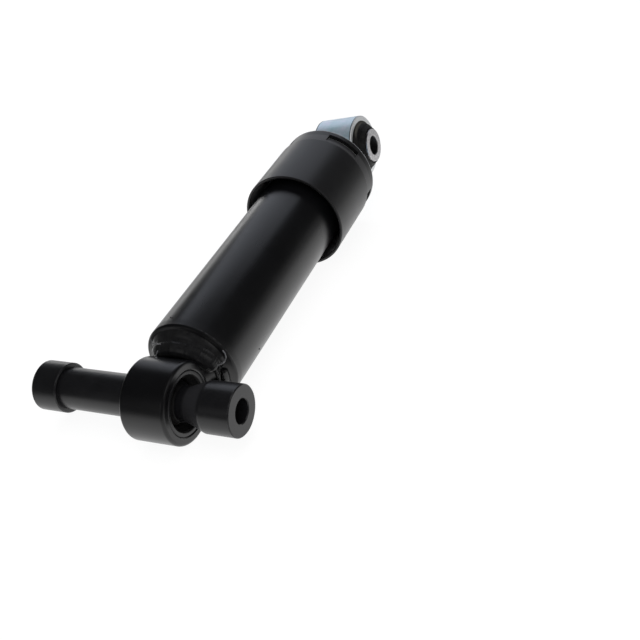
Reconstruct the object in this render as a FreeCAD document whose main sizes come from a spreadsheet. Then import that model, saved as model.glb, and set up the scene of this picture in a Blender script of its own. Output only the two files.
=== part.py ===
import FreeCAD, Part
import os
import re
import Sketcher

# Cab shock absorber: a twin-tube telescopic damper with a rubber-bushed eye at each end.
# The X axis runs along the damper, from the lower eye's centre to the upper eye.
# The Y axis runs along the lower eye's sleeve, towards its long end. Millimetres and degrees.

document = FreeCAD.newDocument("cab_shock_absorber")
X_AXIS = FreeCAD.Vector(1, 0, 0)
Y_AXIS = FreeCAD.Vector(0, 1, 0)

# Driving dimensions, each of which can be set by itself
SIZES = {
    # eyes: where they stand and how the upper one is turned on the damper
    "eye_to_eye": 293.0,
    "upper_eye_roll": -6.8,
    # lower eye ring and the steel shell of its bush
    "lower_ring_od": 48.8,
    "lower_ring_wall": 5.1,
    "lower_ring_width": 30.0,
    "ring_end_round": 2.0,
    "ring_bore_chamfer": 0.5,
    "shell_wall": 2.8,
    "shell_inset": 0.3,
    "shell_rim_round": 1.0,
    # lower sleeve: a turned tube with a collar at its near end and one pressed on at the far end
    "sleeve_od": 25.2,
    "sleeve_bore": 14.4,
    "bore_chamfer": 0.5,
    "sleeve_near_reach": 50.0,
    "sleeve_far_reach": 86.0,
    "collar_od": 30.3,
    "collar_chamfer": 0.6,
    "near_collar_length": 19.6,
    "near_shoulder_round": 5.0,
    "waist_od": 21.0,
    "waist_near_reach": 17.6,
    "waist_far_reach": 6.0,
    "far_collar_length": 18.0,
    # rubber of the lower bush
    "lower_rubber_inset": 5.0,
    "lower_rubber_dish": 3.6,
    "rubber_land": 0.8,
    # upper eye: ring, rubber and sleeve
    "upper_ring_od": 47.8,
    "upper_ring_wall": 4.0,
    "upper_ring_width": 33.0,
    "upper_ring_chamfer": 0.6,
    "upper_sleeve_length": 50.0,
    "upper_rubber_reach": 23.4,
    "upper_rubber_lip": 1.4,
    # reservoir tube and the cap welded into its lower end
    "tube_od": 60.0,
    "tube_wall": 2.0,
    "tube_start": 33.0,
    "tube_top": 208.0,
    "tube_roll_radius": 3.0,
    "tube_lip_width": 6.0,
    "cap_rim_height": 2.0,
    "cap_rim_round": 1.8,
    "cap_boss_radius": 12.5,
    "cap_dome_rise": 3.4,
    "cap_dome_radius": 62.0,
    "cap_floor": 33.8,
    "cap_floor_radius": 20.5,
    "cap_spigot_length": 8.0,
    "cap_spigot_wall": 3.0,
    # weld beads between each eye ring and what carries it
    "weld_leg": 4.5,
    "weld_overhang": 9.0,
    "weld_toe": 0.4,
    "weld_climb": 3.6,
    # pressure tube
    "pressure_bore": 35.0,
    "pressure_wall": 1.5,
    # base valve, standing on the cap
    "foot_height": 6.0,
    "foot_wall": 4.2,
    "foot_slot_width": 7.0,
    "foot_slots": 4,
    "valve_seat_height": 4.5,
    "valve_body_height": 8.5,
    "intake_port_ring": 12.6,
    "intake_port_bore": 3.0,
    "intake_ports": 8,
    "bleed_port_ring": 7.4,
    "bleed_port_bore": 2.2,
    "bleed_ports": 6,
    "valve_pin_radius": 3.0,
    "valve_pin_head": 2.0,
    "valve_pin_head_radius": 5.2,
    # moving intake plates and the star springs over them
    "plate_thickness": 0.8,
    "plate_guide_radius": 6.8,
    "plate_outer_radius": 15.4,
    "plate_lift": 0.8,
    "star_thickness": 0.4,
    "star_arm_width": 3.2,
    "star_arms": 6,
    "star_radius": 14.2,
    "star_hub_radius": 8.6,
    "plate_port_bore": 3.2,
    "shim_thickness": 0.4,
    "shim_step": 1.2,
    "shim_radius": 10.4,
    "shims": 3,
    # piston rod and piston
    "rod_radius": 7.0,
    "rod_spigot_radius": 5.0,
    "rod_chamfer": 0.8,
    "piston_height": 14.0,
    "piston_play": 0.35,
    "band_height": 8.0,
    "band_thickness": 1.2,
    "piston_washer_height": 2.0,
    "piston_washer_radius": 8.6,
    "rebound_port_ring": 8.6,
    "keeper_height": 2.0,
    "keeper_radius": 10.0,
    "nut_height": 8.0,
    "nut_across_flats": 17.0,
    "rod_tip_length": 1.2,
    # rod guide with its bush, seal, ring and cover plate
    "guide_height": 13.0,
    "guide_spigot_length": 6.0,
    "guide_relief_depth": 6.5,
    "guide_relief_inner": 21.0,
    "guide_relief_outer": 25.2,
    "guide_bush_wall": 1.5,
    "guide_bush_length": 11.0,
    "seal_height": 7.0,
    "seal_radius": 13.0,
    "seal_lip_width": 1.6,
    "cover_plate_height": 3.0,
    "cover_plate_bore": 9.4,
    "ring_seal_section": 2.8,
    # stops and the travel between them
    "extension_travel": 15.0,
    "compression_travel": 31.0,
    "stop_ring_height": 4.0,
    "stop_ring_radius": 12.0,
    "stop_groove_depth": 0.8,
    "rebound_rubber_height": 4.5,
    "rebound_rubber_radius": 12.6,
    "bump_stop_radius": 18.5,
    "bump_stop_waist": 1.8,
    # dust cover, moulded, with snap windows under the disc that carries it
    "cover_od": 74.2,
    "cover_neck_set_in": 0.8,
    "cover_wall": 2.2,
    "cover_rim": 186.2,
    "cover_step": 240.1,
    "cover_top": 254.7,
    "cover_lip_height": 1.0,
    "cover_lip_width": 2.2,
    "cover_top_round": 0.9,
    "cover_step_round": 0.4,
    "cover_rim_outer_round": 0.6,
    "cover_rim_inner_round": 1.2,
    "window_count": 4,
    "window_span": 41.0,
    "window_middle": 127.3,
    "window_height": 3.0,
    "window_ramp_length": 4.2,
    "snap_lug_height": 1.8,
    "snap_lug_depth": 1.0,
    "disc_height": 3.0,
    "disc_dish": 1.2,
    "disc_hub_radius": 21.0,
    # stem between the disc and the upper ring
    "stem_foot_radius": 13.0,
    "stem_neck_radius": 10.0,
    "stem_foot_height": 3.0,
    "stem_web": 2.0,
    # clearances
    "press_gap": 0.02,
    "running_gap": 0.04,
    "bond_gap": 0.05,
    "stop_gap": 0.3,
}

# Sizes and places that follow from the driving dimensions
PLACES = {
    "lower_ring_radius": "lower_ring_od / 2",
    "lower_ring_bore": "lower_ring_radius - lower_ring_wall",
    "lower_ring_half": "lower_ring_width / 2",
    "lower_weld_start": "lower_ring_radius - weld_climb",
    "shell_half": "lower_ring_half - shell_inset",
    "shell_bore": "lower_ring_bore - shell_wall",
    "sleeve_radius": "sleeve_od / 2",
    "sleeve_hole": "sleeve_bore / 2",
    "collar_radius": "collar_od / 2",
    "near_shoulder": "sleeve_near_reach - near_collar_length",
    "waist_radius": "waist_od / 2",
    "far_collar_start": "sleeve_far_reach - far_collar_length",
    "lower_rubber_half": "shell_half - lower_rubber_inset",
    "upper_ring_radius": "upper_ring_od / 2",
    "upper_ring_bore": "upper_ring_radius - upper_ring_wall",
    "upper_ring_half": "upper_ring_width / 2",
    "upper_sleeve_half": "upper_sleeve_length / 2",
    "tube_radius": "tube_od / 2",
    "tube_bore": "tube_radius - tube_wall",
    "tube_lip_bore": "tube_radius - tube_lip_width",
    "lip_under": "tube_top - tube_wall",
    "cap_face": "tube_start - cap_rim_height",
    "cap_spigot_top": "tube_start + cap_spigot_length",
    "cap_bore": "tube_bore - press_gap - cap_spigot_wall",
    "pressure_radius": "pressure_bore / 2",
    "pressure_outer": "pressure_radius + pressure_wall",
    "valve_deck": "cap_floor + foot_height",
    "pressure_start": "valve_deck + valve_seat_height",
    "valve_top": "valve_deck + valve_body_height",
    "base_star_start": "valve_top + plate_thickness + plate_lift + star_gap",
    "base_star_end": "base_star_start + star_thickness",
    "shim_stack": "shims * shim_thickness",
    "guide_cover_start": "lip_under - cover_plate_height",
    "guide_start": "guide_cover_start - guide_height",
    "guide_under": "guide_start - guide_spigot_length",
    "seal_start": "guide_cover_start - seal_height",
    "guide_bush_radius": "rod_radius + running_gap + guide_bush_wall",
    "rebound_rubber_top": "guide_under - extension_travel - stop_gap",
    "stop_ring_top": "rebound_rubber_top - rebound_rubber_height",
    "stop_ring_start": "stop_ring_top - stop_ring_height",
    "rod_shoulder": "stop_ring_start - 2 * rod_chamfer",
    "keeper_under": "rod_shoulder - keeper_height",
    "piston_star_start": "keeper_under - star_thickness",
    "piston_top": "piston_star_start - star_gap - plate_lift - plate_thickness",
    "piston_under": "piston_top - piston_height",
    "band_start": "piston_under + (piston_height - band_height) / 2",
    "band_bore": "pressure_radius - running_gap - band_thickness",
    "piston_radius": "pressure_radius - piston_play",
    "piston_washer_top": "piston_under - shim_stack",
    "nut_top": "piston_washer_top - piston_washer_height",
    "nut_under": "nut_top - nut_height",
    "bump_stop_start": "lip_under + compression_travel + stop_gap",
    "disc_top": "cover_top - cover_lip_height",
    "disc_under": "disc_top - disc_height",
    "hub_top": "disc_top - disc_dish",
    "hub_under": "disc_under - disc_dish",
    "cover_radius": "cover_od / 2",
    "cover_bore": "cover_radius - cover_wall",
    "neck_radius": "cover_radius - cover_neck_set_in",
    "neck_bore": "neck_radius - cover_wall",
    "lug_start": "disc_under - press_gap - snap_lug_height",
    "window_start": "lug_start - window_height",
    "star_gap": "2 * running_gap",
    "upper_ring_under": "eye_to_eye - upper_ring_radius",
    "rod_end": "upper_ring_under - stem_web",
    "piston_hole": "rod_spigot_radius + press_gap",
    "pin_hole": "valve_pin_radius + press_gap",
    "plate_bore": "plate_guide_radius + running_gap",
    "pin_head_top": "base_star_end + valve_pin_head",
    "base_shims_under": "valve_deck - shim_stack",
}


def named(text):
    """Spell an expression out in the sheet's aliases."""
    def word(match):
        name = match.group(0)
        if name in SIZES:
            return "Sizes." + name
        if name in PLACES:
            return "(" + named(PLACES[name]) + ")"
        return name
    return re.sub(r"[a-z_]+", word, text)


def value(text):
    """Work an expression out, as a plain number."""
    return float(sheet.evalExpression(named(text)))


sheet = document.addObject("Spreadsheet::Sheet", "Sizes")
for row, (alias, number) in enumerate(SIZES.items(), start=1):
    sheet.set(f"A{row}", alias)
    sheet.set(f"B{row}", str(number))
    sheet.setAlias(f"B{row}", alias)
document.recompute()

sub_parts = []


def new_body(name):
    """Start a sub-part as a body of its own."""
    body = document.addObject("PartDesign::Body", name)
    body.Label = name
    sub_parts.append(body)
    return body


def keep(thing, name):
    """Make a finished object the sub-part that carries this name."""
    thing.Label = name
    sub_parts.append(thing)
    return thing


def find(name):
    """Find a sub-part by its name."""
    return next(part for part in sub_parts if part.Label == name)


def origin_plane(body, role):
    """Find one of the body's own origin planes."""
    return next(item for item in body.Origin.OriginFeatures if item.Role == role)


def arc_between(start, end, radius):
    """The short arc from start to end; it turns left for a positive radius, right for a negative one."""
    first = FreeCAD.Vector(*start, 0)
    last = FreeCAD.Vector(*end, 0)
    chord = last - first
    left = FreeCAD.Vector(-chord.y, chord.x, 0).normalize()
    reach = (radius ** 2 - (chord.Length / 2) ** 2) ** 0.5
    side = 1 if radius > 0 else -1
    centre = (first + last) / 2 + left * (side * reach)
    middle = centre - left * (side * abs(radius))
    return first, middle, last


def outline_sketch(body, name, plane, corners, turn=None):
    """Draw a closed outline through corners given as expressions.

    A corner is (across, up), or (across, up, radius) where an arc leaves it.
    """
    sketch = body.newObject("Sketcher::SketchObject", name)
    sketch.AttachmentSupport = [(origin_plane(body, plane), "")]
    sketch.MapMode = "FlatFace"
    if turn:
        rolled = FreeCAD.Rotation(X_AXIS, value(turn))
        sketch.AttachmentOffset = FreeCAD.Placement(FreeCAD.Vector(), rolled)
        sketch.setExpression("AttachmentOffset.Rotation.Angle", named(turn))
    points = [(value(corner[0]), value(corner[1])) for corner in corners]
    count = len(corners)
    starts = []
    ends = []
    for index, corner in enumerate(corners):
        start = points[index]
        end = points[(index + 1) % count]
        if len(corner) == 2:
            line = Part.LineSegment(FreeCAD.Vector(*start, 0), FreeCAD.Vector(*end, 0))
            starts.append((sketch.addGeometry(line, False), 1))
            ends.append((index, 2))
            continue
        radius = value(corner[2])
        sketch.addGeometry(Part.ArcOfCircle(*arc_between(start, end, radius)), False)
        order = (1, 2) if radius > 0 else (2, 1)
        starts.append((index, order[0]))
        ends.append((index, order[1]))
        size = sketch.addConstraint(Sketcher.Constraint("Radius", index, abs(radius)))
        sketch.setExpression(f"Constraints[{size}]", "abs(" + named(corner[2]) + ")")
    for index in range(count):
        sketch.addConstraint(Sketcher.Constraint("Coincident", *ends[index], *starts[(index + 1) % count]))
    for index, corner in enumerate(corners):
        for kind, axis, place in (("DistanceX", -2, 0), ("DistanceY", -1, 1)):
            if corner[place] == "0":
                sketch.addConstraint(Sketcher.Constraint("PointOnObject", *starts[index], axis))
                continue
            rule = Sketcher.Constraint(kind, -1, 1, *starts[index], points[index][place])
            size = sketch.addConstraint(rule)
            sketch.setExpression(f"Constraints[{size}]", named(corner[place]))
    return sketch


def turned(name, corners, axis="X"):
    """A body turned about the X axis from (along, radius) corners, or about Y from (radius, along)."""
    body = new_body(name)
    profile = outline_sketch(body, name + "_profile", "XY_Plane", corners)
    revolution = body.newObject("PartDesign::Revolution", name + "_turned")
    revolution.Profile = profile
    revolution.ReferenceAxis = (profile, ["H_Axis" if axis == "X" else "V_Axis"])
    revolution.Angle = 360
    document.recompute()
    return body


def turned_ring(name, start, end, bore, radius):
    """A plain ring about the X axis."""
    return turned(name, [(start, bore), (end, bore), (end, radius), (start, radius)])


def port_ring(body, name, ports, start, end):
    """Drill ports, given as (ring radius, bore, count), through a body along the X axis."""
    ring, bore, count = ports
    before = body.Shape.Volume
    sketch = body.newObject("Sketcher::SketchObject", name + "_circle")
    sketch.AttachmentSupport = [(origin_plane(body, "YZ_Plane"), "")]
    sketch.MapMode = "FlatFace"
    sketch.AttachmentOffset = FreeCAD.Placement(FreeCAD.Vector(0, 0, value(start)), FreeCAD.Rotation())
    sketch.setExpression("AttachmentOffset.Base.z", named(start))
    centre = FreeCAD.Vector(value(ring), 0, 0)
    sketch.addGeometry(Part.Circle(centre, FreeCAD.Vector(0, 0, 1), value(bore) / 2), False)
    sketch.addConstraint(Sketcher.Constraint("PointOnObject", 0, 3, -1))
    place = sketch.addConstraint(Sketcher.Constraint("DistanceX", -1, 1, 0, 3, value(ring)))
    sketch.setExpression(f"Constraints[{place}]", named(ring))
    size = sketch.addConstraint(Sketcher.Constraint("Diameter", 0, value(bore)))
    sketch.setExpression(f"Constraints[{size}]", named(bore))
    port = body.newObject("PartDesign::Pocket", name)
    port.Profile = sketch
    port.Reversed = True
    port.Length = value(f"{end} - ({start})")
    port.setExpression("Length", named(f"{end} - ({start})"))
    document.recompute()
    repeat_about_x(body, name + "_ring", port, count)
    check_cut(body, before)


def repeat_about_x(body, name, feature, count):
    """Repeat a feature evenly about the X axis."""
    pattern = body.newObject("PartDesign::PolarPattern", name)
    pattern.Originals = [feature]
    pattern.Axis = (origin_plane(body, "X_Axis"), [""])
    pattern.Angle = 360
    pattern.Occurrences = int(value(count))
    pattern.setExpression("Occurrences", named(count))
    body.Tip = pattern
    document.recompute()


def check_cut(body, before):
    """Stop if a cut took nothing away."""
    if body.Shape.Volume >= before:
        raise RuntimeError(f"{body.Label}: a cut missed the solid")


def edges_at(body, test):
    """Name the round edges of a body whose circle passes the test."""
    found = []
    for number, edge in enumerate(body.Shape.Edges, start=1):
        if isinstance(edge.Curve, Part.Circle) and test(edge.Curve):
            found.append(f"Edge{number}")
    return found


def dress(body, kind, name, size, test):
    """Chamfer or fillet the round edges that pass the test."""
    previous = body.Tip
    edges = edges_at(body, test)
    feature = body.newObject("PartDesign::" + kind, name)
    feature.Base = (previous, edges)
    dimension = "Size" if kind == "Chamfer" else "Radius"
    setattr(feature, dimension, value(size))
    feature.setExpression(dimension, named(size))
    body.Tip = feature
    document.recompute()


def close(first, second):
    """True where two lengths are the same, to a thousandth."""
    return abs(first - second) < 0.001


def cylinder(name, radius, length, placement):
    """A construction cylinder with its sizes bound to the sheet."""
    thing = document.addObject("Part::Cylinder", name)
    thing.Radius = value(radius)
    thing.setExpression("Radius", named(radius))
    thing.Height = value(length)
    thing.setExpression("Height", named(length))
    thing.Placement = placement
    return thing


def cut(name, base, tools):
    """Cut several tools from a base, one after the other."""
    result = base
    for index, tool in enumerate(tools, start=1):
        step = document.addObject("Part::Cut", f"{name}_cut_{index}")
        step.Base = result
        step.Tool = tool
        step.Refine = True
        result = step
    document.recompute()
    return result


def across(radius, half, name):
    """A cylinder along the Y axis, centred on the XZ plane."""
    flat = FreeCAD.Placement(FreeCAD.Vector(0, -value(half), 0), FreeCAD.Rotation(X_AXIS, -90))
    thing = cylinder(name, radius, f"2 * ({half})", flat)
    thing.setExpression("Placement.Base.y", "-(" + named(half) + ")")
    return thing


# Lower eye: ring, bush shell, rubber, turned sleeve and pressed collar
def lower_eye():
    turned("lower_eye_ring", [
        ("lower_ring_bore", "ring_bore_chamfer - lower_ring_half"),
        ("lower_ring_bore + ring_bore_chamfer", "-lower_ring_half"),
        ("lower_ring_radius - ring_end_round", "-lower_ring_half", "ring_end_round"),
        ("lower_ring_radius", "-lower_ring_half + ring_end_round"),
        ("lower_ring_radius", "lower_ring_half - ring_end_round", "ring_end_round"),
        ("lower_ring_radius - ring_end_round", "lower_ring_half"),
        ("lower_ring_bore + ring_bore_chamfer", "lower_ring_half"),
        ("lower_ring_bore", "lower_ring_half - ring_bore_chamfer"),
    ], "Y")
    shell = turned("lower_bush_shell", [
        ("shell_bore", "-shell_half"),
        ("lower_ring_bore", "-shell_half"),
        ("lower_ring_bore", "shell_half"),
        ("shell_bore", "shell_half"),
    ], "Y")
    rim = value("shell_half")
    dress(shell, "Fillet", "rolled_rims", "shell_rim_round", lambda curve: close(abs(curve.Center.y), rim))
    waist_end = "waist_far_reach + sleeve_radius - waist_radius"
    turned("lower_bush_rubber", [
        ("waist_radius + bond_gap", "-lower_rubber_half"),
        ("waist_radius + bond_gap + rubber_land", "-lower_rubber_half"),
        ("(waist_radius + bond_gap + shell_bore) / 2", "lower_rubber_dish - lower_rubber_half"),
        ("shell_bore - rubber_land", "-lower_rubber_half"),
        ("shell_bore", "-lower_rubber_half"),
        ("shell_bore", "lower_rubber_half"),
        ("shell_bore - rubber_land", "lower_rubber_half"),
        ("(sleeve_radius + bond_gap + shell_bore) / 2", "lower_rubber_half - lower_rubber_dish"),
        ("sleeve_radius + bond_gap + rubber_land", "lower_rubber_half"),
        ("sleeve_radius + bond_gap", "lower_rubber_half"),
        ("sleeve_radius + bond_gap", waist_end),
        ("waist_radius + bond_gap", "waist_far_reach"),
    ], "Y")
    sleeve = turned("lower_inner_sleeve", [
        ("sleeve_hole", "bore_chamfer - sleeve_near_reach"),
        ("sleeve_hole + bore_chamfer", "-sleeve_near_reach"),
        ("collar_radius - collar_chamfer", "-sleeve_near_reach"),
        ("collar_radius", "collar_chamfer - sleeve_near_reach"),
        ("collar_radius", "-near_shoulder"),
        ("waist_radius", "-waist_near_reach"),
        ("waist_radius", "waist_far_reach"),
        ("sleeve_radius", waist_end),
        ("sleeve_radius", "sleeve_far_reach"),
        ("sleeve_hole + bore_chamfer", "sleeve_far_reach"),
        ("sleeve_hole", "sleeve_far_reach - bore_chamfer"),
    ], "Y")
    bends = (-value("near_shoulder"), -value("waist_near_reach"))
    dress(sleeve, "Fillet", "cone_rounds", "near_shoulder_round",
          lambda curve: any(close(curve.Center.y, bend) for bend in bends))
    turned("lower_far_collar", [
        ("sleeve_radius + press_gap", "far_collar_start"),
        ("collar_radius - collar_chamfer", "far_collar_start"),
        ("collar_radius", "far_collar_start + collar_chamfer"),
        ("collar_radius", "sleeve_far_reach - collar_chamfer"),
        ("collar_radius - collar_chamfer", "sleeve_far_reach"),
        ("sleeve_radius + press_gap", "sleeve_far_reach"),
    ], "Y")


# Domed cap with a saddle that takes the eye ring, and the tube that it closes
def reservoir():
    turned("bottom_cap_blank", [
        ("0", "0"),
        ("cap_floor", "0"),
        ("cap_floor", "cap_floor_radius"),
        ("(cap_floor + cap_spigot_top) / 2", "cap_bore"),
        ("cap_spigot_top", "cap_bore"),
        ("cap_spigot_top", "tube_bore - press_gap"),
        ("tube_start", "tube_bore - press_gap"),
        ("tube_start", "tube_radius"),
        ("cap_face + cap_rim_round", "tube_radius", "cap_rim_round"),
        ("cap_face", "tube_radius - cap_rim_round", "cap_dome_radius"),
        ("cap_face - cap_dome_rise", "cap_boss_radius"),
        ("0", "cap_boss_radius"),
    ])
    blank = sub_parts.pop()
    ring = across("lower_ring_radius", "tube_radius", "lower_ring_space")
    keep(cut("bottom_cap", blank, [ring]), "bottom_cap")
    turned("reservoir_tube", [
        ("tube_start", "tube_bore"),
        ("lip_under", "tube_bore"),
        ("lip_under", "tube_lip_bore"),
        ("tube_top", "tube_lip_bore"),
        ("tube_top", "tube_radius - tube_roll_radius", "tube_roll_radius"),
        ("tube_top - tube_roll_radius", "tube_radius"),
        ("tube_start", "tube_radius"),
    ])
    turned_ring("pressure_tube", "pressure_start", "guide_start", "pressure_radius", "pressure_outer")


def weld_bead(name, planes, widths, tools, roll="0"):
    """A bead that follows an eye ring and what carries it, between two oval sections across the X axis."""
    sections = []
    for index, (plane, (long_half, short_half)) in enumerate(zip(planes, widths), start=1):
        oval = document.addObject("Part::Ellipse", f"{name}_oval_{index}")
        oval.MajorRadius = value(long_half)
        oval.setExpression("MajorRadius", named(long_half))
        oval.MinorRadius = value(short_half)
        oval.setExpression("MinorRadius", named(short_half))
        upright = FreeCAD.Rotation(Y_AXIS, FreeCAD.Vector(0, 0, 1), X_AXIS, "XYZ")
        turn = FreeCAD.Rotation(X_AXIS, value(roll))
        oval.Placement = FreeCAD.Placement(FreeCAD.Vector(value(plane), 0, 0), turn * upright)
        oval.setExpression("Placement.Base.x", named(plane))
        sections.append(oval)
    blank = document.addObject("Part::Loft", name + "_blank")
    blank.Sections = sections
    blank.Solid = True
    blank.Ruled = True
    document.recompute()
    keep(cut(name, blank, tools), name)


def lower_weld():
    """Bead between the lower eye ring and the cap's dome and saddle."""
    planes = ("lower_weld_start", "cap_face")
    narrow = ("lower_ring_half + weld_toe", "sqrt(lower_ring_radius ^ 2 - lower_weld_start ^ 2) + weld_toe")
    wide = ("lower_ring_half + weld_overhang", "cap_boss_radius + weld_leg")
    weld_bead("lower_eye_weld", planes, (narrow, wide), [find("lower_eye_ring"), find("bottom_cap")])


def port_slots(body, name, slots, start, end, radius):
    """Cut straight slots, given as (width, count), out through a body's skirt."""
    width, count = slots
    before = body.Shape.Volume
    half = f"({width}) / 2"
    corners = [(start, f"-{half}"), (end, f"-{half}"), (end, half), (start, half)]
    sketch = outline_sketch(body, name + "_shape", "XZ_Plane", corners)
    slot = body.newObject("PartDesign::Pocket", name)
    slot.Profile = sketch
    slot.Length = value(radius)
    slot.setExpression("Length", named(radius))
    document.recompute()
    repeat_about_x(body, name + "_ring", slot, count)
    check_cut(body, before)


def valve_plate(name, start):
    """Ring plate that lifts off its ports, guided by the spacer inside it."""
    end = f"{start} + plate_thickness"
    body = turned_ring(name, start, end, "plate_bore", "plate_outer_radius")
    ports = ("bleed_port_ring + plate_port_bore / 2", "plate_port_bore", "bleed_ports")
    port_ring(body, name + "_port", ports, start, end)
    return body


def star_spring(name, start, hole):
    """Flat star spring: a hub ring with straight arms over the valve plate."""
    end = f"{start} + star_thickness"
    body = turned_ring(name, start, end, hole, "star_hub_radius")
    root = f"({hole} + star_hub_radius) / 2"
    corners = [(start, root), (end, root), (end, "star_radius"), (start, "star_radius")]
    profile = outline_sketch(body, name + "_arm_profile", "XY_Plane", corners)
    arm = body.newObject("PartDesign::Pad", name + "_arm")
    arm.Profile = profile
    arm.Midplane = True
    arm.Length = value("star_arm_width")
    arm.setExpression("Length", named("star_arm_width"))
    document.recompute()
    repeat_about_x(body, name + "_arms", arm, "star_arms")
    return body


def shim_pack(name, top, hole):
    """Bleed discs under a valve body, each a step smaller than the one above it."""
    for number in range(int(value("shims"))):
        end = f"{top} - {number} * shim_thickness"
        radius = f"shim_radius - {number} * shim_step"
        turned_ring(f"{name}_{number + 1}", f"{end} - shim_thickness", end, hole, radius)


INTAKE_PORTS = ("intake_port_ring", "intake_port_bore", "intake_ports")
BLEED_PORTS = ("bleed_port_ring", "bleed_port_bore", "bleed_ports")
REBOUND_PORTS = ("rebound_port_ring", "bleed_port_bore", "bleed_ports")


# Base valve: a footed body on the cap, with its intake plate, spring, bleed discs and rivet
def base_valve():
    body = turned("base_valve_body", [
        ("cap_floor", "pressure_outer - foot_wall"),
        ("valve_deck", "pressure_outer - foot_wall"),
        ("valve_deck", "pin_hole"),
        ("valve_top", "pin_hole"),
        ("valve_top", "pressure_radius - press_gap"),
        ("pressure_start", "pressure_radius - press_gap"),
        ("pressure_start", "pressure_outer"),
        ("cap_floor", "pressure_outer"),
    ])
    slots = ("foot_slot_width", "foot_slots")
    port_slots(body, "foot_slot", slots, "cap_floor", "valve_deck", "pressure_outer")
    port_ring(body, "intake_port", INTAKE_PORTS, "valve_deck", "valve_top")
    port_ring(body, "bleed_port", BLEED_PORTS, "valve_deck", "valve_top")
    valve_plate("base_intake_plate", "valve_top + press_gap")
    turned_ring("base_valve_spacer", "valve_top", "base_star_start", "pin_hole", "plate_guide_radius")
    star_spring("base_star_spring", "base_star_start", "pin_hole")
    shim_pack("base_bleed_shim", "valve_deck", "pin_hole")
    turned("base_valve_rivet", [
        ("base_shims_under - valve_pin_head", "0"),
        ("pin_head_top", "0"),
        ("pin_head_top", "valve_pin_head_radius - rod_chamfer"),
        ("pin_head_top - rod_chamfer", "valve_pin_head_radius"),
        ("base_star_end", "valve_pin_head_radius"),
        ("base_star_end", "valve_pin_radius"),
        ("base_shims_under", "valve_pin_radius"),
        ("base_shims_under", "valve_pin_head_radius"),
        ("base_shims_under - valve_pin_head + rod_chamfer", "valve_pin_head_radius"),
        ("base_shims_under - valve_pin_head", "valve_pin_head_radius - rod_chamfer"),
    ])


# Piston with its band, intake plate, spring, rebound discs, washer and nut on the rod's spigot
def piston_stack():
    piston = turned("piston", [
        ("piston_under", "piston_hole"),
        ("piston_top", "piston_hole"),
        ("piston_top", "piston_radius"),
        ("band_start + band_height", "piston_radius"),
        ("band_start + band_height", "band_bore - running_gap"),
        ("band_start", "band_bore - running_gap"),
        ("band_start", "piston_radius"),
        ("piston_under", "piston_radius"),
    ])
    port_ring(piston, "piston_intake", INTAKE_PORTS, "piston_under", "piston_top")
    port_ring(piston, "piston_rebound", REBOUND_PORTS, "piston_under", "piston_top")
    start = "band_start + press_gap"
    end = "band_start + band_height - press_gap"
    turned_ring("piston_band", start, end, "band_bore", "pressure_radius - running_gap")
    valve_plate("piston_intake_plate", "piston_top + press_gap")
    turned_ring("piston_spacer", "piston_top", "piston_star_start", "piston_hole", "plate_guide_radius")
    star_spring("piston_star_spring", "piston_star_start", "piston_hole")
    turned_ring("piston_keeper", "keeper_under", "rod_shoulder", "piston_hole", "keeper_radius")
    shim_pack("piston_rebound_shim", "piston_under", "piston_hole")
    turned_ring("piston_washer", "nut_top", "piston_washer_top", "piston_hole", "piston_washer_radius")
    upright = FreeCAD.Rotation(Y_AXIS, 90)
    prism = document.addObject("Part::Prism", "piston_nut_hexagon")
    prism.Polygon = 6
    corner_radius = "nut_across_flats / sqrt(3)"
    prism.setExpression("Circumradius", named(corner_radius))
    prism.setExpression("Height", named("nut_height"))
    prism.Placement = FreeCAD.Placement(FreeCAD.Vector(value("nut_under"), 0, 0), upright)
    prism.setExpression("Placement.Base.x", named("nut_under"))
    bore = cylinder("piston_nut_bore", "piston_hole", "nut_height", prism.Placement)
    bore.setExpression("Placement.Base.x", named("nut_under"))
    keep(cut("piston_nut", prism, [bore]), "piston_nut")


# Piston rod with its rebound stop
def rod():
    groove = "rod_radius - stop_groove_depth"
    turned("piston_rod", [
        ("nut_under - rod_tip_length", "0"),
        ("rod_end", "0"),
        ("rod_end", "rod_radius - rod_chamfer"),
        ("rod_end - rod_chamfer", "rod_radius"),
        ("stop_ring_top", "rod_radius"),
        ("stop_ring_top", groove),
        ("stop_ring_start", groove),
        ("stop_ring_start", "rod_radius"),
        ("rod_shoulder", "rod_radius"),
        ("rod_shoulder", "rod_spigot_radius"),
        ("nut_under - rod_tip_length + rod_chamfer", "rod_spigot_radius"),
        ("nut_under - rod_tip_length", "rod_spigot_radius - rod_chamfer"),
    ])
    stop = turned_ring("rebound_stop_ring", "stop_ring_start", "stop_ring_top", groove, "stop_ring_radius")
    place = value("stop_ring_start")
    dress(stop, "Chamfer", "lower_edge", "rod_chamfer",
          lambda curve: close(curve.Center.x, place) and close(curve.Radius, value("stop_ring_radius")))
    turned("rebound_rubber", [
        ("stop_ring_top", "rod_radius + bond_gap"),
        ("rebound_rubber_top", "rod_radius + bond_gap"),
        ("rebound_rubber_top", "rebound_rubber_radius - rod_chamfer"),
        ("rebound_rubber_top - rod_chamfer", "rebound_rubber_radius"),
        ("stop_ring_top", "rebound_rubber_radius"),
    ])


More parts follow.
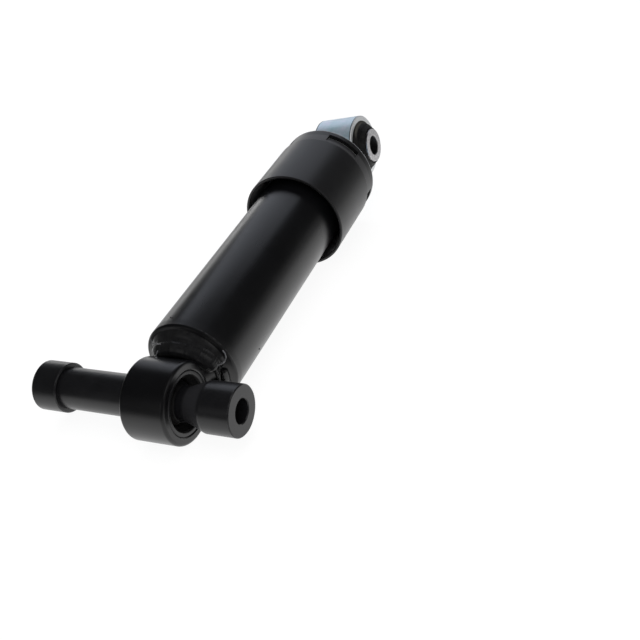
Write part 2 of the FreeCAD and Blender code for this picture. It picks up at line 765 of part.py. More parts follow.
# Rod guide closing the tubes, with its bush, lip seal, ring seal and cover plate
def guide():
    turned("rod_guide", [
        ("guide_under", "guide_bush_radius + press_gap"),
        ("seal_start", "guide_bush_radius + press_gap"),
        ("seal_start", "seal_radius"),
        ("guide_cover_start", "seal_radius"),
        ("guide_cover_start", "tube_bore - press_gap - ring_seal_section"),
        ("guide_cover_start - ring_seal_section", "tube_bore - press_gap - ring_seal_section"),
        ("guide_cover_start - ring_seal_section", "tube_bore - press_gap"),
        ("guide_start", "tube_bore - press_gap"),
        ("guide_start", "guide_relief_outer"),
        ("guide_start + guide_relief_depth", "guide_relief_outer"),
        ("guide_start + guide_relief_depth", "guide_relief_inner"),
        ("guide_start", "guide_relief_inner"),
        ("guide_start", "pressure_radius - press_gap"),
        ("guide_under", "pressure_radius - press_gap"),
    ])
    bush_start = "seal_start - guide_bush_length"
    turned_ring("guide_bush", bush_start, "seal_start", "rod_radius + running_gap", "guide_bush_radius")
    turned("rod_seal", [
        ("seal_start", "rod_radius + bond_gap"),
        ("seal_start + seal_lip_width", "rod_radius + bond_gap"),
        ("seal_start + seal_height / 2", "rod_radius + seal_lip_width"),
        ("guide_cover_start - seal_lip_width", "rod_radius + bond_gap"),
        ("guide_cover_start", "rod_radius + bond_gap"),
        ("guide_cover_start", "seal_radius - press_gap"),
        ("seal_start", "seal_radius - press_gap"),
    ])
    rim = "tube_bore - press_gap"
    turned_ring("guide_cover_plate", "guide_cover_start", "lip_under", "cover_plate_bore", rim)
    ring = document.addObject("Part::Torus", "guide_ring_seal_torus")
    section = "ring_seal_section / 2 - press_gap"
    ring.setExpression("Radius2", named(section))
    ring.setExpression("Radius1", named(f"{rim} - ring_seal_section / 2"))
    place = "guide_cover_start - ring_seal_section / 2"
    ring.Placement = FreeCAD.Placement(FreeCAD.Vector(value(place), 0, 0), FreeCAD.Rotation(Y_AXIS, 90))
    ring.setExpression("Placement.Base.x", named(place))
    document.recompute()
    keep(ring, "guide_ring_seal")


# Dust cover, the disc that it snaps over and the bump stop under the disc
def cover():
    turned("bump_stop", [
        ("bump_stop_start", "rod_radius + bond_gap"),
        ("hub_under", "rod_radius + bond_gap"),
        ("hub_under", "bump_stop_radius"),
        ("(bump_stop_start + hub_under) / 2", "bump_stop_radius - bump_stop_waist"),
        ("bump_stop_start + bump_stop_waist", "bump_stop_radius"),
        ("bump_stop_start", "bump_stop_radius - bump_stop_waist"),
    ])
    turned("cover_disc", [
        ("hub_under", "rod_radius + press_gap"),
        ("hub_top", "rod_radius + press_gap"),
        ("hub_top", "disc_hub_radius"),
        ("disc_top", "disc_hub_radius + disc_dish"),
        ("disc_top", "neck_bore - press_gap"),
        ("disc_under", "neck_bore - press_gap"),
        ("disc_under", "disc_hub_radius + disc_dish"),
        ("hub_under", "disc_hub_radius"),
    ])
    body = turned("dust_cover", [
        ("cover_rim + cover_rim_inner_round", "cover_bore"),
        ("cover_step - cover_wall", "cover_bore"),
        ("cover_step", "neck_bore"),
        ("disc_top", "neck_bore"),
        ("disc_top", "neck_bore - cover_lip_width"),
        ("cover_top", "neck_bore - cover_lip_width"),
        ("cover_top", "neck_radius - cover_top_round", "cover_top_round"),
        ("cover_top - cover_top_round", "neck_radius"),
        ("cover_step", "neck_radius"),
        ("cover_step", "cover_radius - cover_step_round", "cover_step_round"),
        ("cover_step - cover_step_round", "cover_radius"),
        ("cover_rim + cover_rim_outer_round", "cover_radius", "cover_rim_outer_round"),
        ("cover_rim", "cover_radius - cover_rim_outer_round"),
        ("cover_rim", "cover_bore + cover_rim_inner_round", "cover_rim_inner_round"),
    ])
    before = body.Shape.Volume
    inner = "neck_bore - snap_lug_depth"
    outer = "cover_radius"
    halfway = "(neck_bore + neck_radius) / 2"
    ramp_start = "window_start - window_ramp_length"
    window = outline_sketch(body, "window_profile", "XY_Plane", [
        (ramp_start, "neck_radius"),
        ("window_start", halfway),
        ("window_start", inner),
        ("lug_start", inner),
        ("lug_start", halfway),
        ("disc_under", halfway),
        ("disc_under", outer),
        (ramp_start, outer),
    ], "window_middle")
    opening = body.newObject("PartDesign::Groove", "window")
    opening.Profile = window
    opening.ReferenceAxis = (window, ["H_Axis"])
    opening.Midplane = True
    opening.Angle = value("window_span")
    opening.setExpression("Angle", named("window_span"))
    document.recompute()
    repeat_about_x(body, "windows", opening, "window_count")
    check_cut(body, before)
    lug_root = "neck_bore + snap_lug_depth / 2"
    lug_end = "disc_under - press_gap"
    lug = outline_sketch(body, "lug_profile", "XY_Plane",
                         [("lug_start", lug_root), (lug_end, lug_root), (lug_end, inner)], "window_middle")
    nib = body.newObject("PartDesign::Revolution", "snap_lug")
    nib.Profile = lug
    nib.ReferenceAxis = (lug, ["H_Axis"])
    nib.Midplane = True
    nib.Angle = value("window_span")
    nib.setExpression("Angle", named("window_span"))
    document.recompute()
    repeat_about_x(body, "snap_lugs", nib, "window_count")


def turn_with_upper_eye(body):
    """Put a body that was made about the Y axis at the upper eye, rolled with it."""
    body.Placement = FreeCAD.Placement(FreeCAD.Vector(value("eye_to_eye"), 0, 0),
                                       FreeCAD.Rotation(X_AXIS, value("upper_eye_roll")))
    body.setExpression("Placement.Base.x", named("eye_to_eye"))
    body.setExpression("Placement.Rotation.Angle", named("upper_eye_roll"))
    document.recompute()


# Upper eye: stem, ring, weld bead, rubber and plain sleeve
def upper_eye():
    ring = turned("upper_eye_ring", [
        ("upper_ring_bore", "-upper_ring_half"),
        ("upper_ring_radius - upper_ring_chamfer", "-upper_ring_half"),
        ("upper_ring_radius", "-upper_ring_half + upper_ring_chamfer"),
        ("upper_ring_radius", "upper_ring_half - upper_ring_chamfer"),
        ("upper_ring_radius - upper_ring_chamfer", "upper_ring_half"),
        ("upper_ring_bore", "upper_ring_half"),
    ], "Y")
    turn_with_upper_eye(ring)
    turned("upper_stem_blank", [
        ("hub_top", "rod_radius + press_gap"),
        ("rod_end + press_gap", "rod_radius + press_gap"),
        ("rod_end + press_gap", "0"),
        ("eye_to_eye", "0"),
        ("eye_to_eye", "stem_neck_radius"),
        ("hub_top + stem_foot_height + stem_foot_radius - stem_neck_radius", "stem_neck_radius"),
        ("hub_top + stem_foot_height", "stem_foot_radius"),
        ("hub_top", "stem_foot_radius"),
    ])
    blank = sub_parts.pop()
    space = across("upper_ring_radius", "upper_ring_half", "upper_ring_space")
    space.setExpression("Placement.Base.x", named("eye_to_eye"))
    space.setExpression("Placement.Base.y", named("-upper_ring_half * cos(upper_eye_roll)"))
    space.setExpression("Placement.Base.z", named("-upper_ring_half * sin(upper_eye_roll)"))
    space.setExpression("Placement.Rotation.Angle", named("upper_eye_roll - 90"))
    keep(cut("upper_stem", blank, [space]), "upper_stem")
    planes = ("upper_ring_under - weld_leg", "upper_ring_under + weld_climb")
    narrow = ("stem_neck_radius + weld_toe", "stem_neck_radius + weld_toe")
    wide = ("upper_ring_half - 2 * upper_ring_chamfer",
            "sqrt(upper_ring_radius ^ 2 - (upper_ring_radius - weld_climb) ^ 2) + weld_toe")
    along = FreeCAD.Placement(FreeCAD.Vector(value("hub_top"), 0, 0), FreeCAD.Rotation(Y_AXIS, 90))
    neck = cylinder("upper_stem_neck", "stem_neck_radius", "eye_to_eye - (hub_top)", along)
    neck.setExpression("Placement.Base.x", named("hub_top"))
    weld_bead("upper_eye_weld", planes, (narrow, wide), [ring, neck], "upper_eye_roll")
    turn_with_upper_eye(turned("upper_bush_rubber", [
        ("sleeve_radius + bond_gap", "-upper_rubber_reach"),
        ("sleeve_radius + bond_gap + upper_rubber_lip", "-upper_rubber_reach"),
        ("upper_ring_bore - rubber_land", "-upper_ring_half"),
        ("upper_ring_bore", "rubber_land - upper_ring_half"),
        ("upper_ring_bore", "upper_ring_half - rubber_land"),
        ("upper_ring_bore - rubber_land", "upper_ring_half"),
        ("sleeve_radius + bond_gap + upper_rubber_lip", "upper_rubber_reach"),
        ("sleeve_radius + bond_gap", "upper_rubber_reach"),
    ], "Y"))
    turn_with_upper_eye(turned("upper_inner_sleeve", [
        ("sleeve_hole", "bore_chamfer - upper_sleeve_half"),
        ("sleeve_hole + bore_chamfer", "-upper_sleeve_half"),
        ("sleeve_radius", "-upper_sleeve_half"),
        ("sleeve_radius", "upper_sleeve_half"),
        ("sleeve_hole + bore_chamfer", "upper_sleeve_half"),
        ("sleeve_hole", "upper_sleeve_half - bore_chamfer"),
    ], "Y"))


for make in (lower_eye, reservoir, lower_weld, base_valve, piston_stack, rod, guide, cover, upper_eye):
    make()

document.recompute()
for thing in document.Objects:
    if "Invalid" in thing.State or "Error" in thing.State:
        raise RuntimeError(f"{thing.Label} failed: {thing.State}")
for part in sub_parts:
    if part.Shape.isNull() or not part.Shape.isValid() or len(part.Shape.Solids) != 1:
        raise RuntimeError(f"{part.Label}: not one valid solid")

os.makedirs("parts", exist_ok=True)
for part in sub_parts:
    part.Shape.exportStep(f"parts/{part.Label}.step")
print(len(sub_parts), "sub-parts written")
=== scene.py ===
"""Looks of a cab shock absorber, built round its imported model.

Everything is in metres and in the model's own frame: the middle of the lower eye is the origin,
X runs along the damper to the upper eye, Y along the lower sleeve to its long end, and Z is up.
"""

import logging
import math
import random
from collections.abc import Sequence
from dataclasses import dataclass, field
from enum import Enum
from functools import cached_property

import bpy
from mathutils import Matrix, Vector


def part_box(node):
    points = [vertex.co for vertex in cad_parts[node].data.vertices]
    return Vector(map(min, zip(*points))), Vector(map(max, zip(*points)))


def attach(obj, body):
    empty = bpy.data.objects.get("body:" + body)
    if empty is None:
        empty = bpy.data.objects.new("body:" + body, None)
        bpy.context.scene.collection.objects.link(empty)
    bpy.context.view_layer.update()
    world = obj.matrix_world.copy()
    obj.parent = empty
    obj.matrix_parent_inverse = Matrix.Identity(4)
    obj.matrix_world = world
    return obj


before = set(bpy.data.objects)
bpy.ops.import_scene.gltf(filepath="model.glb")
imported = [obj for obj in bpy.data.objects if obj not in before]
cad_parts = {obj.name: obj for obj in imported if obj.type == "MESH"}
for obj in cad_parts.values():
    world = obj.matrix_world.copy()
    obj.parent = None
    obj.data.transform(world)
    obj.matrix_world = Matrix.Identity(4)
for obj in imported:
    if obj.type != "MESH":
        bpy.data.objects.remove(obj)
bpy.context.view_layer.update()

LOG = logging.getLogger("damper")
MM = 0.001
ALONG_X, ALONG_Y = (1.0, 0.0, 0.0), (0.0, 1.0, 0.0)
Colour = tuple[float, float, float]
Point = tuple[float, float, float]
Pair = tuple[float, float]
Profile = Sequence[Pair]
Inputs = dict[str | int, object]
Piece = bpy.types.Object
Node = bpy.types.Node
Socket = bpy.types.NodeSocket
Tree = bpy.types.NodeTree


class Grain(Enum):
    """Surface relief that a finish can carry."""

    PEEL = "peel"
    MOULDED = "moulded"
    RUBBER = "rubber"
    CAST = "cast"
    PLATED = "plated"
    DRAWN = "drawn"
    LATHE_X = "lathe_x"
    LATHE_Y = "lathe_y"


def label(name: str) -> str:
    """Turn a Python name into the label that a group's socket has."""
    return name.replace("_", " ").capitalize()


class NodeSheet:
    """A node tree with short calls for adding nodes and joining them."""

    def __init__(self, tree: Tree) -> None:
        """Keep the tree that the calls write to."""
        self.tree = tree

    def node(self, kind: str, inputs: Inputs | None = None, **settings: object) -> Node:
        """Add a node.

        Args:
            kind: Blender's name for the node's type, less its ShaderNode.
            inputs: Values or links for its inputs, by their names or places.
            **settings: Properties of the node.

        Returns:
            The new node.
        """
        made = self.tree.nodes.new("ShaderNode" + kind)
        for key, value in settings.items():
            setattr(made, key, value)
        for key, value in (inputs or {}).items():
            self.feed(made.inputs[key], value)
        return made

    def feed(self, socket: Socket, value: object) -> None:
        """Give an input a constant, or a link where the value is a socket.

        Args:
            socket: The input.
            value: What it is given.
        """
        if isinstance(value, Socket):
            self.tree.links.new(value, socket)
        else:
            socket.default_value = value

    def group(self, tree: Tree, **given: object) -> Node:
        """Add a shared group, each input given by its label as a Python name."""
        inputs = {label(name): value for name, value in given.items()}
        return self.node("Group", inputs, node_tree=tree)

    def math(self, operation: str, *values: object) -> Socket:
        """Work out one number from others."""
        return self.node("Math", dict(enumerate(values)), operation=operation).outputs[0]

    def times(self, first: object, second: object) -> Socket:
        """Multiply two numbers."""
        return self.math("MULTIPLY", first, second)

    def plus(self, first: object, second: object) -> Socket:
        """Add two numbers."""
        return self.math("ADD", first, second)

    def vector(self, operation: str, *values: object) -> Socket:
        """Work out a vector, or a number where the operation gives one."""
        made = self.node("VectorMath", dict(enumerate(values)), operation=operation)
        return made.outputs["Value" if operation in ("DOT_PRODUCT", "LENGTH") else "Vector"]

    def noise(self, vector: object, scale: object, detail: float = 3.0,
              roughness: float = 0.55) -> Socket:
        """Read a noise of about 0 to 1, its scale per metre."""
        given = {"Vector": vector, "Scale": scale, "Detail": detail, "Roughness": roughness}
        return self.node("TexNoise", given).outputs["Fac"]

    def spread(self, value: object, low: object, high: object, start: object = 0.0,
               end: object = 1.0) -> Socket:
        """Map the range from low to high onto start to end, and hold it inside."""
        given = dict(enumerate((value, low, high, start, end)))
        return self.node("MapRange", given, clamp=True).outputs["Result"]

    def blend(self, factor: object, first: object, second: object) -> Socket:
        """Mix two colours by a factor."""
        ends = [given if isinstance(given, Socket) else (*given, 1) for given in (first, second)]
        return self.node("Mix", {0: factor, 6: ends[0], 7: ends[1]}, data_type="RGBA").outputs[2]


class Effects:
    """Node groups that several finishes share, each built when it is first asked for."""

    def _start(self, name: str, outputs: Sequence[str], **inputs: float | None
               ) -> tuple[NodeSheet, bpy.types.NodeOutputs, bpy.types.NodeInputs]:
        """Start a group with named sockets.

        Args:
            name: The group's name.
            outputs: Labels of the outputs, all plain numbers.
            **inputs: Each input's first value, or None where it is a vector.

        Returns:
            The sheet, the sockets that bring values in and those that take them out.
        """
        tree = bpy.data.node_groups.new(name, "ShaderNodeTree")
        for key, value in inputs.items():
            kind = "NodeSocketVector" if value is None else "NodeSocketFloat"
            socket = tree.interface.new_socket(label(key), in_out="INPUT", socket_type=kind)
            if value is not None:
                socket.default_value = value
        for title in outputs:
            tree.interface.new_socket(title, in_out="OUTPUT", socket_type="NodeSocketFloat")
        sheet = NodeSheet(tree)
        given, out = (tree.nodes.new(end) for end in ("NodeGroupInput", "NodeGroupOutput"))
        return sheet, given.outputs, out.inputs

    @cached_property
    def mottle(self) -> Tree:
        """Slow clouds of tone with finer grain in them."""
        sheet, given, out = self._start("mottle", ("Cloud", "Grain"), vector=None,
                                        cloud_scale=60.0, grain_scale=1800.0)
        cloud = sheet.noise(given["Vector"], given["Cloud scale"], detail=4.0, roughness=0.6)
        grain = sheet.noise(given["Vector"], given["Grain scale"], detail=2.0, roughness=0.5)
        sheet.feed(out["Cloud"], sheet.spread(cloud, 0.32, 0.68))
        sheet.feed(out["Grain"], sheet.spread(grain, 0.3, 0.7))
        return sheet.tree

    @cached_property
    def rubbed_edges(self) -> Tree:
        """A mask of the outer edges, broken up as handling leaves them."""
        sheet, given, out = self._start("rubbed_edges", ("Mask",), vector=None, width=0.0006,
                                        breaks=400.0)
        rounded = sheet.node("Bevel", {"Radius": given["Width"]}, samples=4)
        flat = sheet.node("NewGeometry")
        along = sheet.vector("DOT_PRODUCT", rounded.outputs["Normal"], flat.outputs["Normal"])
        breaks = sheet.noise(given["Vector"], given["Breaks"], detail=4.0, roughness=0.7)
        worn = sheet.spread(breaks, 0.42, 0.62)
        sheet.feed(out["Mask"], sheet.times(sheet.spread(along, 0.99, 0.86), worn))
        return sheet.tree

    @cached_property
    def specks(self) -> Tree:
        """Small scattered specks, such as lint or nibs in paint."""
        sheet, given, out = self._start("specks", ("Mask",), vector=None, scale=900.0, size=0.12,
                                        share=0.1)
        cells = sheet.node("TexVoronoi", {"Vector": given["Vector"], "Scale": given["Scale"]})
        near = sheet.math("LESS_THAN", cells.outputs["Distance"], given["Size"])
        part = sheet.node("SeparateColor", {"Color": cells.outputs["Color"]})
        chosen = sheet.math("LESS_THAN", part.outputs["Red"], given["Share"])
        sheet.feed(out["Mask"], sheet.times(near, chosen))
        return sheet.tree

    @cached_property
    def zone(self) -> Tree:
        """A mask of what lies near a middle, along an axis and between two radii about it."""
        sheet, given, out = self._start("zone", ("Mask",), vector=None, middle=None, axis=None,
                                        half=0.01, gap=-1.0, inner=0.0, outer=1.0, soft=0.0005)
        apart = sheet.vector("SUBTRACT", given["Vector"], given["Middle"])
        reach = sheet.math("ABSOLUTE", sheet.vector("DOT_PRODUCT", apart, given["Axis"]))
        radius = sheet.vector("LENGTH", sheet.vector("CROSS_PRODUCT", apart, given["Axis"]))
        mask = 1.0
        for value, edge, side in ((reach, "Half", -1.0), (reach, "Gap", 1.0),
                                  (radius, "Inner", 1.0), (radius, "Outer", -1.0)):
            full = sheet.plus(given[edge], sheet.times(given["Soft"], side))
            mask = sheet.times(mask, sheet.spread(value, given[edge], full))
        sheet.feed(out["Mask"], mask)
        return sheet.tree

    @cached_property
    def lathe_rings(self) -> Tree:
        """Fine rings about one axis and short lines along it, as a turned face has."""
        sheet, given, out = self._start("lathe_rings", ("Height",), across_one=0.0, across_two=0.0,
                                        along=0.0, pitch=0.0002)
        squares = [sheet.times(given[name], given[name]) for name in ("Across one", "Across two")]
        radius = sheet.math("SQRT", sheet.plus(*squares))
        turns = sheet.node("CombineXYZ", {
            "X": sheet.math("DIVIDE", radius, given["Pitch"]),
            "Y": sheet.math("DIVIDE", given["Along"], given["Pitch"])})
        sheet.feed(out["Height"], sheet.noise(turns.outputs[0], 1.0, detail=2.0, roughness=0.6))
        return sheet.tree


class Look(NodeSheet):
    """A material's nodes, with the place where they are read and the shared groups."""

    def __init__(self, tree: Tree, effects: Effects) -> None:
        """Keep the groups and add the place, in the model's frame."""
        super().__init__(tree)
        self.effects = effects
        self.place = self.node("TexCoord").outputs["Object"]


@dataclass(frozen=True)
class Zone:
    """Part of a finish with a tone of its own: a slab across an axis, between two radii about it.

    The slab runs as far as half to both sides of the middle, and starts at gap where that is
    given. Its edges fade over soft.
    """

    tone: Colour
    middle: Point
    axis: Point
    half: float
    gap: float = -1.0
    inner: float = -0.01
    outer: float = 1.0
    soft: float = 0.0005
    duller: float = 0.0

    def mask(self, look: Look) -> Socket:
        """Add the zone's mask to a material.

        Args:
            look: The material's nodes.

        Returns:
            The mask.
        """
        names = ("middle", "axis", "half", "gap", "inner", "outer", "soft")
        given = {name: getattr(self, name) for name in names}
        return look.group(look.effects.zone, vector=look.place, **given).outputs["Mask"]


@dataclass(frozen=True)
class Finish:
    """How a surface looks, and the record's slot that it answers to."""

    name: str
    slot: str
    tone: Colour
    cloud_tone: Colour
    grain: Grain
    gloss_low: float
    gloss_high: float
    metallic: float = 0.0
    specular: float = 0.5
    sheen: float = 0.0
    sheen_rough: float = 0.25
    cloud_scale: float = 60.0
    cloud_share: float = 0.7
    grain_scale: float = 1800.0
    relief: float = 0.00001
    edge_tone: Colour = (0.12, 0.12, 0.125)
    edge_amount: float = 0.0
    edge_width: float = 0.0006
    speck_tone: Colour = (0.2, 0.2, 0.2)
    speck_share: float = 0.0
    zones: tuple[Zone, ...] = ()

    def material(self, effects: Effects) -> bpy.types.Material:
        """Build the finish's material, or find it where it exists.

        Args:
            effects: The shared node groups.

        Returns:
            The material.
        """
        title = "look_" + self.name
        found = bpy.data.materials.get(title)
        if found:
            return found
        made = bpy.data.materials.new(title)
        made.use_nodes = True
        made.node_tree.nodes.clear()
        look = Look(made.node_tree, effects)
        colour, rough = self._tones(look)
        bump = look.node("Bump", {
            "Strength": 1.0, "Distance": self.relief, "Height": self._height(look)})
        skin = look.node("BsdfPrincipled", {
            "Base Color": colour, "Roughness": rough, "Normal": bump.outputs["Normal"],
            "Metallic": self.metallic, "Specular IOR Level": self.specular,
            "Sheen Weight": self.sheen, "Sheen Roughness": self.sheen_rough})
        look.node("OutputMaterial", {"Surface": skin.outputs["BSDF"]})
        return made

    def _tones(self, look: Look) -> tuple[Socket, Socket]:
        """Find the finish's colour and roughness.

        Args:
            look: The material's nodes.

        Returns:
            The colour and the roughness.
        """
        effects, place = look.effects, look.place
        mottle = look.group(effects.mottle, vector=place, cloud_scale=self.cloud_scale,
                            grain_scale=self.grain_scale)
        cloud, grain = mottle.outputs["Cloud"], mottle.outputs["Grain"]
        colour = look.blend(cloud, self.tone, self.cloud_tone)
        uneven = look.plus(look.times(cloud, self.cloud_share),
                           look.times(grain, 1.0 - self.cloud_share))
        rough = look.spread(uneven, 0.0, 1.0, self.gloss_low, self.gloss_high)
        for zone in self.zones:
            inside = zone.mask(look)
            colour = look.blend(inside, colour, zone.tone)
            rough = look.plus(rough, look.times(inside, zone.duller))
        if self.speck_share:
            specks = look.group(effects.specks, vector=place, share=self.speck_share)
            colour = look.blend(specks.outputs["Mask"], colour, self.speck_tone)
        if self.edge_amount:
            rubbed = look.group(effects.rubbed_edges, vector=place, width=self.edge_width)
            share = look.times(rubbed.outputs["Mask"], self.edge_amount)
            colour = look.blend(share, colour, self.edge_tone)
        return colour, rough

    def _height(self, look: Look) -> Socket:
        """Find the relief that the finish's grain has.

        Args:
            look: The material's nodes.

        Returns:
            The height, about 0 to 1.
        """
        place, scale = look.place, self.grain_scale
        if self.grain in (Grain.LATHE_X, Grain.LATHE_Y):
            part = look.node("SeparateXYZ", {"Vector": place}).outputs
            along, across = ("X", "Y") if self.grain is Grain.LATHE_X else ("Y", "X")
            rings = look.group(look.effects.lathe_rings, across_one=part[across],
                               across_two=part["Z"], along=part[along])
            return rings.outputs["Height"]
        if self.grain is Grain.DRAWN:
            drawn_out = look.vector("MULTIPLY", place, (0.04, 1.0, 1.0))
            return look.noise(drawn_out, scale, detail=3.0, roughness=0.6)
        if self.grain is Grain.MOULDED:
            cells = {"Vector": place, "Scale": scale}
            return look.node("TexVoronoi", cells, feature="SMOOTH_F1").outputs["Distance"]
        if self.grain is Grain.RUBBER:
            fine = look.noise(place, scale, detail=5.0, roughness=0.7)
            return look.plus(fine, look.noise(place, scale / 8, detail=2.0))
        if self.grain is Grain.CAST:
            return look.noise(place, scale, detail=6.0, roughness=0.75)
        return look.noise(place, scale / 3, detail=2.0, roughness=0.4)


UPPER_MIDDLE = (0.293, 0.0, 0.0)
UPPER_ROLL = math.radians(6.8)
UPPER_AXIS = (0.0, math.cos(UPPER_ROLL), -math.sin(UPPER_ROLL))

# Lighter band on the lower sleeve's waist and cone: painted light where the sleeve sits in the ring's
# shade.
WAIST_PAINTED_LIGHT = Zone((0.02, 0.02, 0.0218), (0.0, -0.0235, 0.0), ALONG_Y, 0.0068, soft=0.002)
NECK_ZONE = Zone((0.042, 0.042, 0.044), (0.2443, 0.0, 0.0), ALONG_X, 0.0045, duller=0.03)
# Near-black, duller floor of each cover window: painted shade in the recess.
WINDOW_PAINTED_SHADE = Zone((0.0025, 0.0025, 0.0027), (0.2462, 0.0, 0.0), ALONG_X, 0.0045,
                   outer=0.0361, soft=0.0016, duller=0.3)
TUBE_END_ZONE = Zone((0.002, 0.002, 0.0023), (0.034, 0.0, 0.0), ALONG_X, 0.0038,
                     soft=0.0018, duller=0.1)
# Darker, duller steel inside the upper sleeve's bore: painted shade.
BORE_PAINTED_SHADE = Zone((0.13, 0.13, 0.14), UPPER_MIDDLE, UPPER_AXIS, 0.0252, outer=0.0077, duller=0.2)
# Near-white band on the upper ring's outer chamfer: painted highlight.
CHAMFER_PAINTED_HIGHLIGHT = Zone((0.98, 0.99, 1.0), UPPER_MIDDLE, UPPER_AXIS, 0.0167, gap=0.01585,
                    inner=0.0229, outer=0.0245, soft=0.0001)
# Dark band on the ring's outer side beside the chamfer: painted shade.
SIDE_PAINTED_SHADE = Zone((0.05, 0.075, 0.09), UPPER_MIDDLE, UPPER_AXIS, 0.0159, gap=0.0150,
                 inner=0.0236, outer=0.0245, soft=0.0002)
FACE_LIT_ZONE = Zone((0.97, 0.99, 1.0), UPPER_MIDDLE, UPPER_AXIS, 0.0172, gap=0.0158,
                     inner=0.0190, outer=0.0232, soft=0.0002)
# Darker inner band on the ring's face, set off centre: painted shade, deeper on one side.
FACE_PAINTED_SHADE = Zone((0.07, 0.075, 0.082), (0.2922, 0.0, 0.0), UPPER_AXIS, 0.0172, gap=0.0158,
                 inner=0.0170, outer=0.0206, soft=0.0004)
# Lighter band on the upper rubber beside the ring's bore, shifted toward the top: painted light where
# light falls.
RUBBER_TOP_PAINTED_LIGHT = Zone((0.056, 0.053, 0.046), (0.2958, 0.0, 0.0035), UPPER_AXIS, 0.0182,
                        gap=0.0150, inner=0.0135, outer=0.0181, soft=0.0009)

BLACK_PAINT = Finish(
    "black_paint", "black_paint", (0.0022, 0.0022, 0.0026), (0.0034, 0.0034, 0.004),
    Grain.PEEL, 0.27, 0.32, relief=0.000004, cloud_scale=45, edge_amount=0.5,
    speck_share=0.02, speck_tone=(0.03, 0.03, 0.03), zones=(TUBE_END_ZONE,))
# Black paint of the lower sleeve; its waist band is painted light.
SLEEVE_PAINT = Finish(
    "sleeve_paint", "black_paint", (0.0055, 0.0055, 0.0062), (0.0075, 0.0075, 0.0085),
    Grain.LATHE_Y, 0.27, 0.35, specular=0.46, relief=0.000003, cloud_scale=80,
    edge_amount=0.55, zones=(WAIST_PAINTED_LIGHT,))
SHELL_PAINT = Finish(
    "shell_paint", "black_paint", (0.007, 0.007, 0.0078), (0.012, 0.012, 0.013),
    Grain.LATHE_Y, 0.34, 0.44, edge_amount=0.6)
WELD_PAINT = Finish(
    "weld_paint", "black_paint", (0.005, 0.005, 0.0055), (0.01, 0.01, 0.0105),
    Grain.PEEL, 0.26, 0.36, relief=0.000012, cloud_scale=260, edge_amount=0.2,
    edge_width=0.0003)
# Light grey for the weld lips, far lighter than the black paint: painted highlight along the lips.
LIP_PAINTED_HIGHLIGHT = Finish(
    "lip_painted_highlight", "black_paint", (0.07, 0.07, 0.075), (0.14, 0.14, 0.15),
    Grain.PEEL, 0.2, 0.28, specular=0.55, cloud_scale=300)
# Bush rubber; the band near the upper ring's bore is painted light.
BUSH_RUBBER = Finish(
    "bush_rubber", "bush_rubber", (0.003, 0.003, 0.0035), (0.0105, 0.01, 0.0096),
    Grain.RUBBER, 0.46, 0.72, specular=0.26, relief=0.00005, cloud_scale=260,
    speck_share=0.08, speck_tone=(0.06, 0.058, 0.055), zones=(RUBBER_TOP_PAINTED_LIGHT,))
# Cover plastic; the floor of each window is darkened as painted shade.
COVER_PLASTIC = Finish(
    "cover_plastic", "cover_plastic", (0.0088, 0.0088, 0.0094), (0.0112, 0.0112, 0.012),
    Grain.MOULDED, 0.33, 0.38, specular=0.4, sheen=0.14, relief=0.000003, cloud_scale=35,
    grain_scale=2600, edge_amount=0.45, edge_tone=(0.06, 0.06, 0.063),
    zones=(NECK_ZONE, WINDOW_PAINTED_SHADE))
# Light grey for the thin bead on the cover's top edge: a painted highlight line on black plastic.
COVER_EDGE_HIGHLIGHT = Finish(
    "cover_edge_highlight", "cover_plastic", (0.1, 0.1, 0.105), (0.55, 0.57, 0.6),
    Grain.MOULDED, 0.22, 0.3, relief=0.000003, cloud_scale=50)
# Near-black matte for the ledge pad and the baffle: dark rings set in the cover's windows as painted
# shade.
WINDOW_SHADE_PAD = Finish(
    "window_shade_pad", "seal_rubber", (0.0042, 0.0042, 0.0044), (0.0052, 0.0052, 0.0054),
    Grain.RUBBER, 0.8, 0.95, specular=0.05)
# On the upper ring the zinc's zones paint light and shade: highlights on the chamfer and face, shade
# beside the chamfer and on the inner face.
ZINC_PLATE = Finish(
    "zinc_plate", "zinc_plate", (0.56, 0.76, 0.83), (0.82, 0.88, 1.0),
    Grain.PLATED, 0.38, 0.54, metallic=0.76, relief=0.000008, cloud_scale=100,
    edge_amount=0.5, edge_tone=(0.8, 0.86, 0.9),
    zones=(CHAMFER_PAINTED_HIGHLIGHT, SIDE_PAINTED_SHADE, FACE_LIT_ZONE, FACE_PAINTED_SHADE))
SLEEVE_STEEL = Finish(
    "sleeve_steel", "bare_steel", (0.45, 0.44, 0.45), (0.86, 0.85, 0.86),
    Grain.PLATED, 0.32, 0.5, metallic=1.0, relief=0.00003, cloud_scale=620,
    edge_amount=0.6, edge_tone=(0.85, 0.85, 0.86), zones=(BORE_PAINTED_SHADE,))
DRAWN_STEEL = Finish(
    "drawn_steel", "drawn_steel", (0.38, 0.39, 0.4), (0.5, 0.5, 0.51),
    Grain.DRAWN, 0.28, 0.4, metallic=1.0)
SINTERED_IRON = Finish(
    "sintered_iron", "sintered_iron", (0.16, 0.16, 0.165), (0.25, 0.25, 0.255),
    Grain.CAST, 0.5, 0.68, metallic=1.0, relief=0.00005, grain_scale=3000)
SPRING_STEEL = Finish(
    "spring_steel", "spring_steel", (0.28, 0.3, 0.35), (0.42, 0.42, 0.42),
    Grain.DRAWN, 0.25, 0.36, metallic=1.0, relief=0.000008)
BEARING_PLASTIC = Finish(
    "bearing_plastic", "bearing_plastic", (0.26, 0.24, 0.2), (0.34, 0.31, 0.26),
    Grain.LATHE_X, 0.45, 0.6)
CHROMED_ROD = Finish(
    "chromed_rod", "chromed_rod", (0.72, 0.73, 0.75), (0.8, 0.81, 0.83),
    Grain.LATHE_X, 0.06, 0.12, metallic=1.0, relief=0.000002)
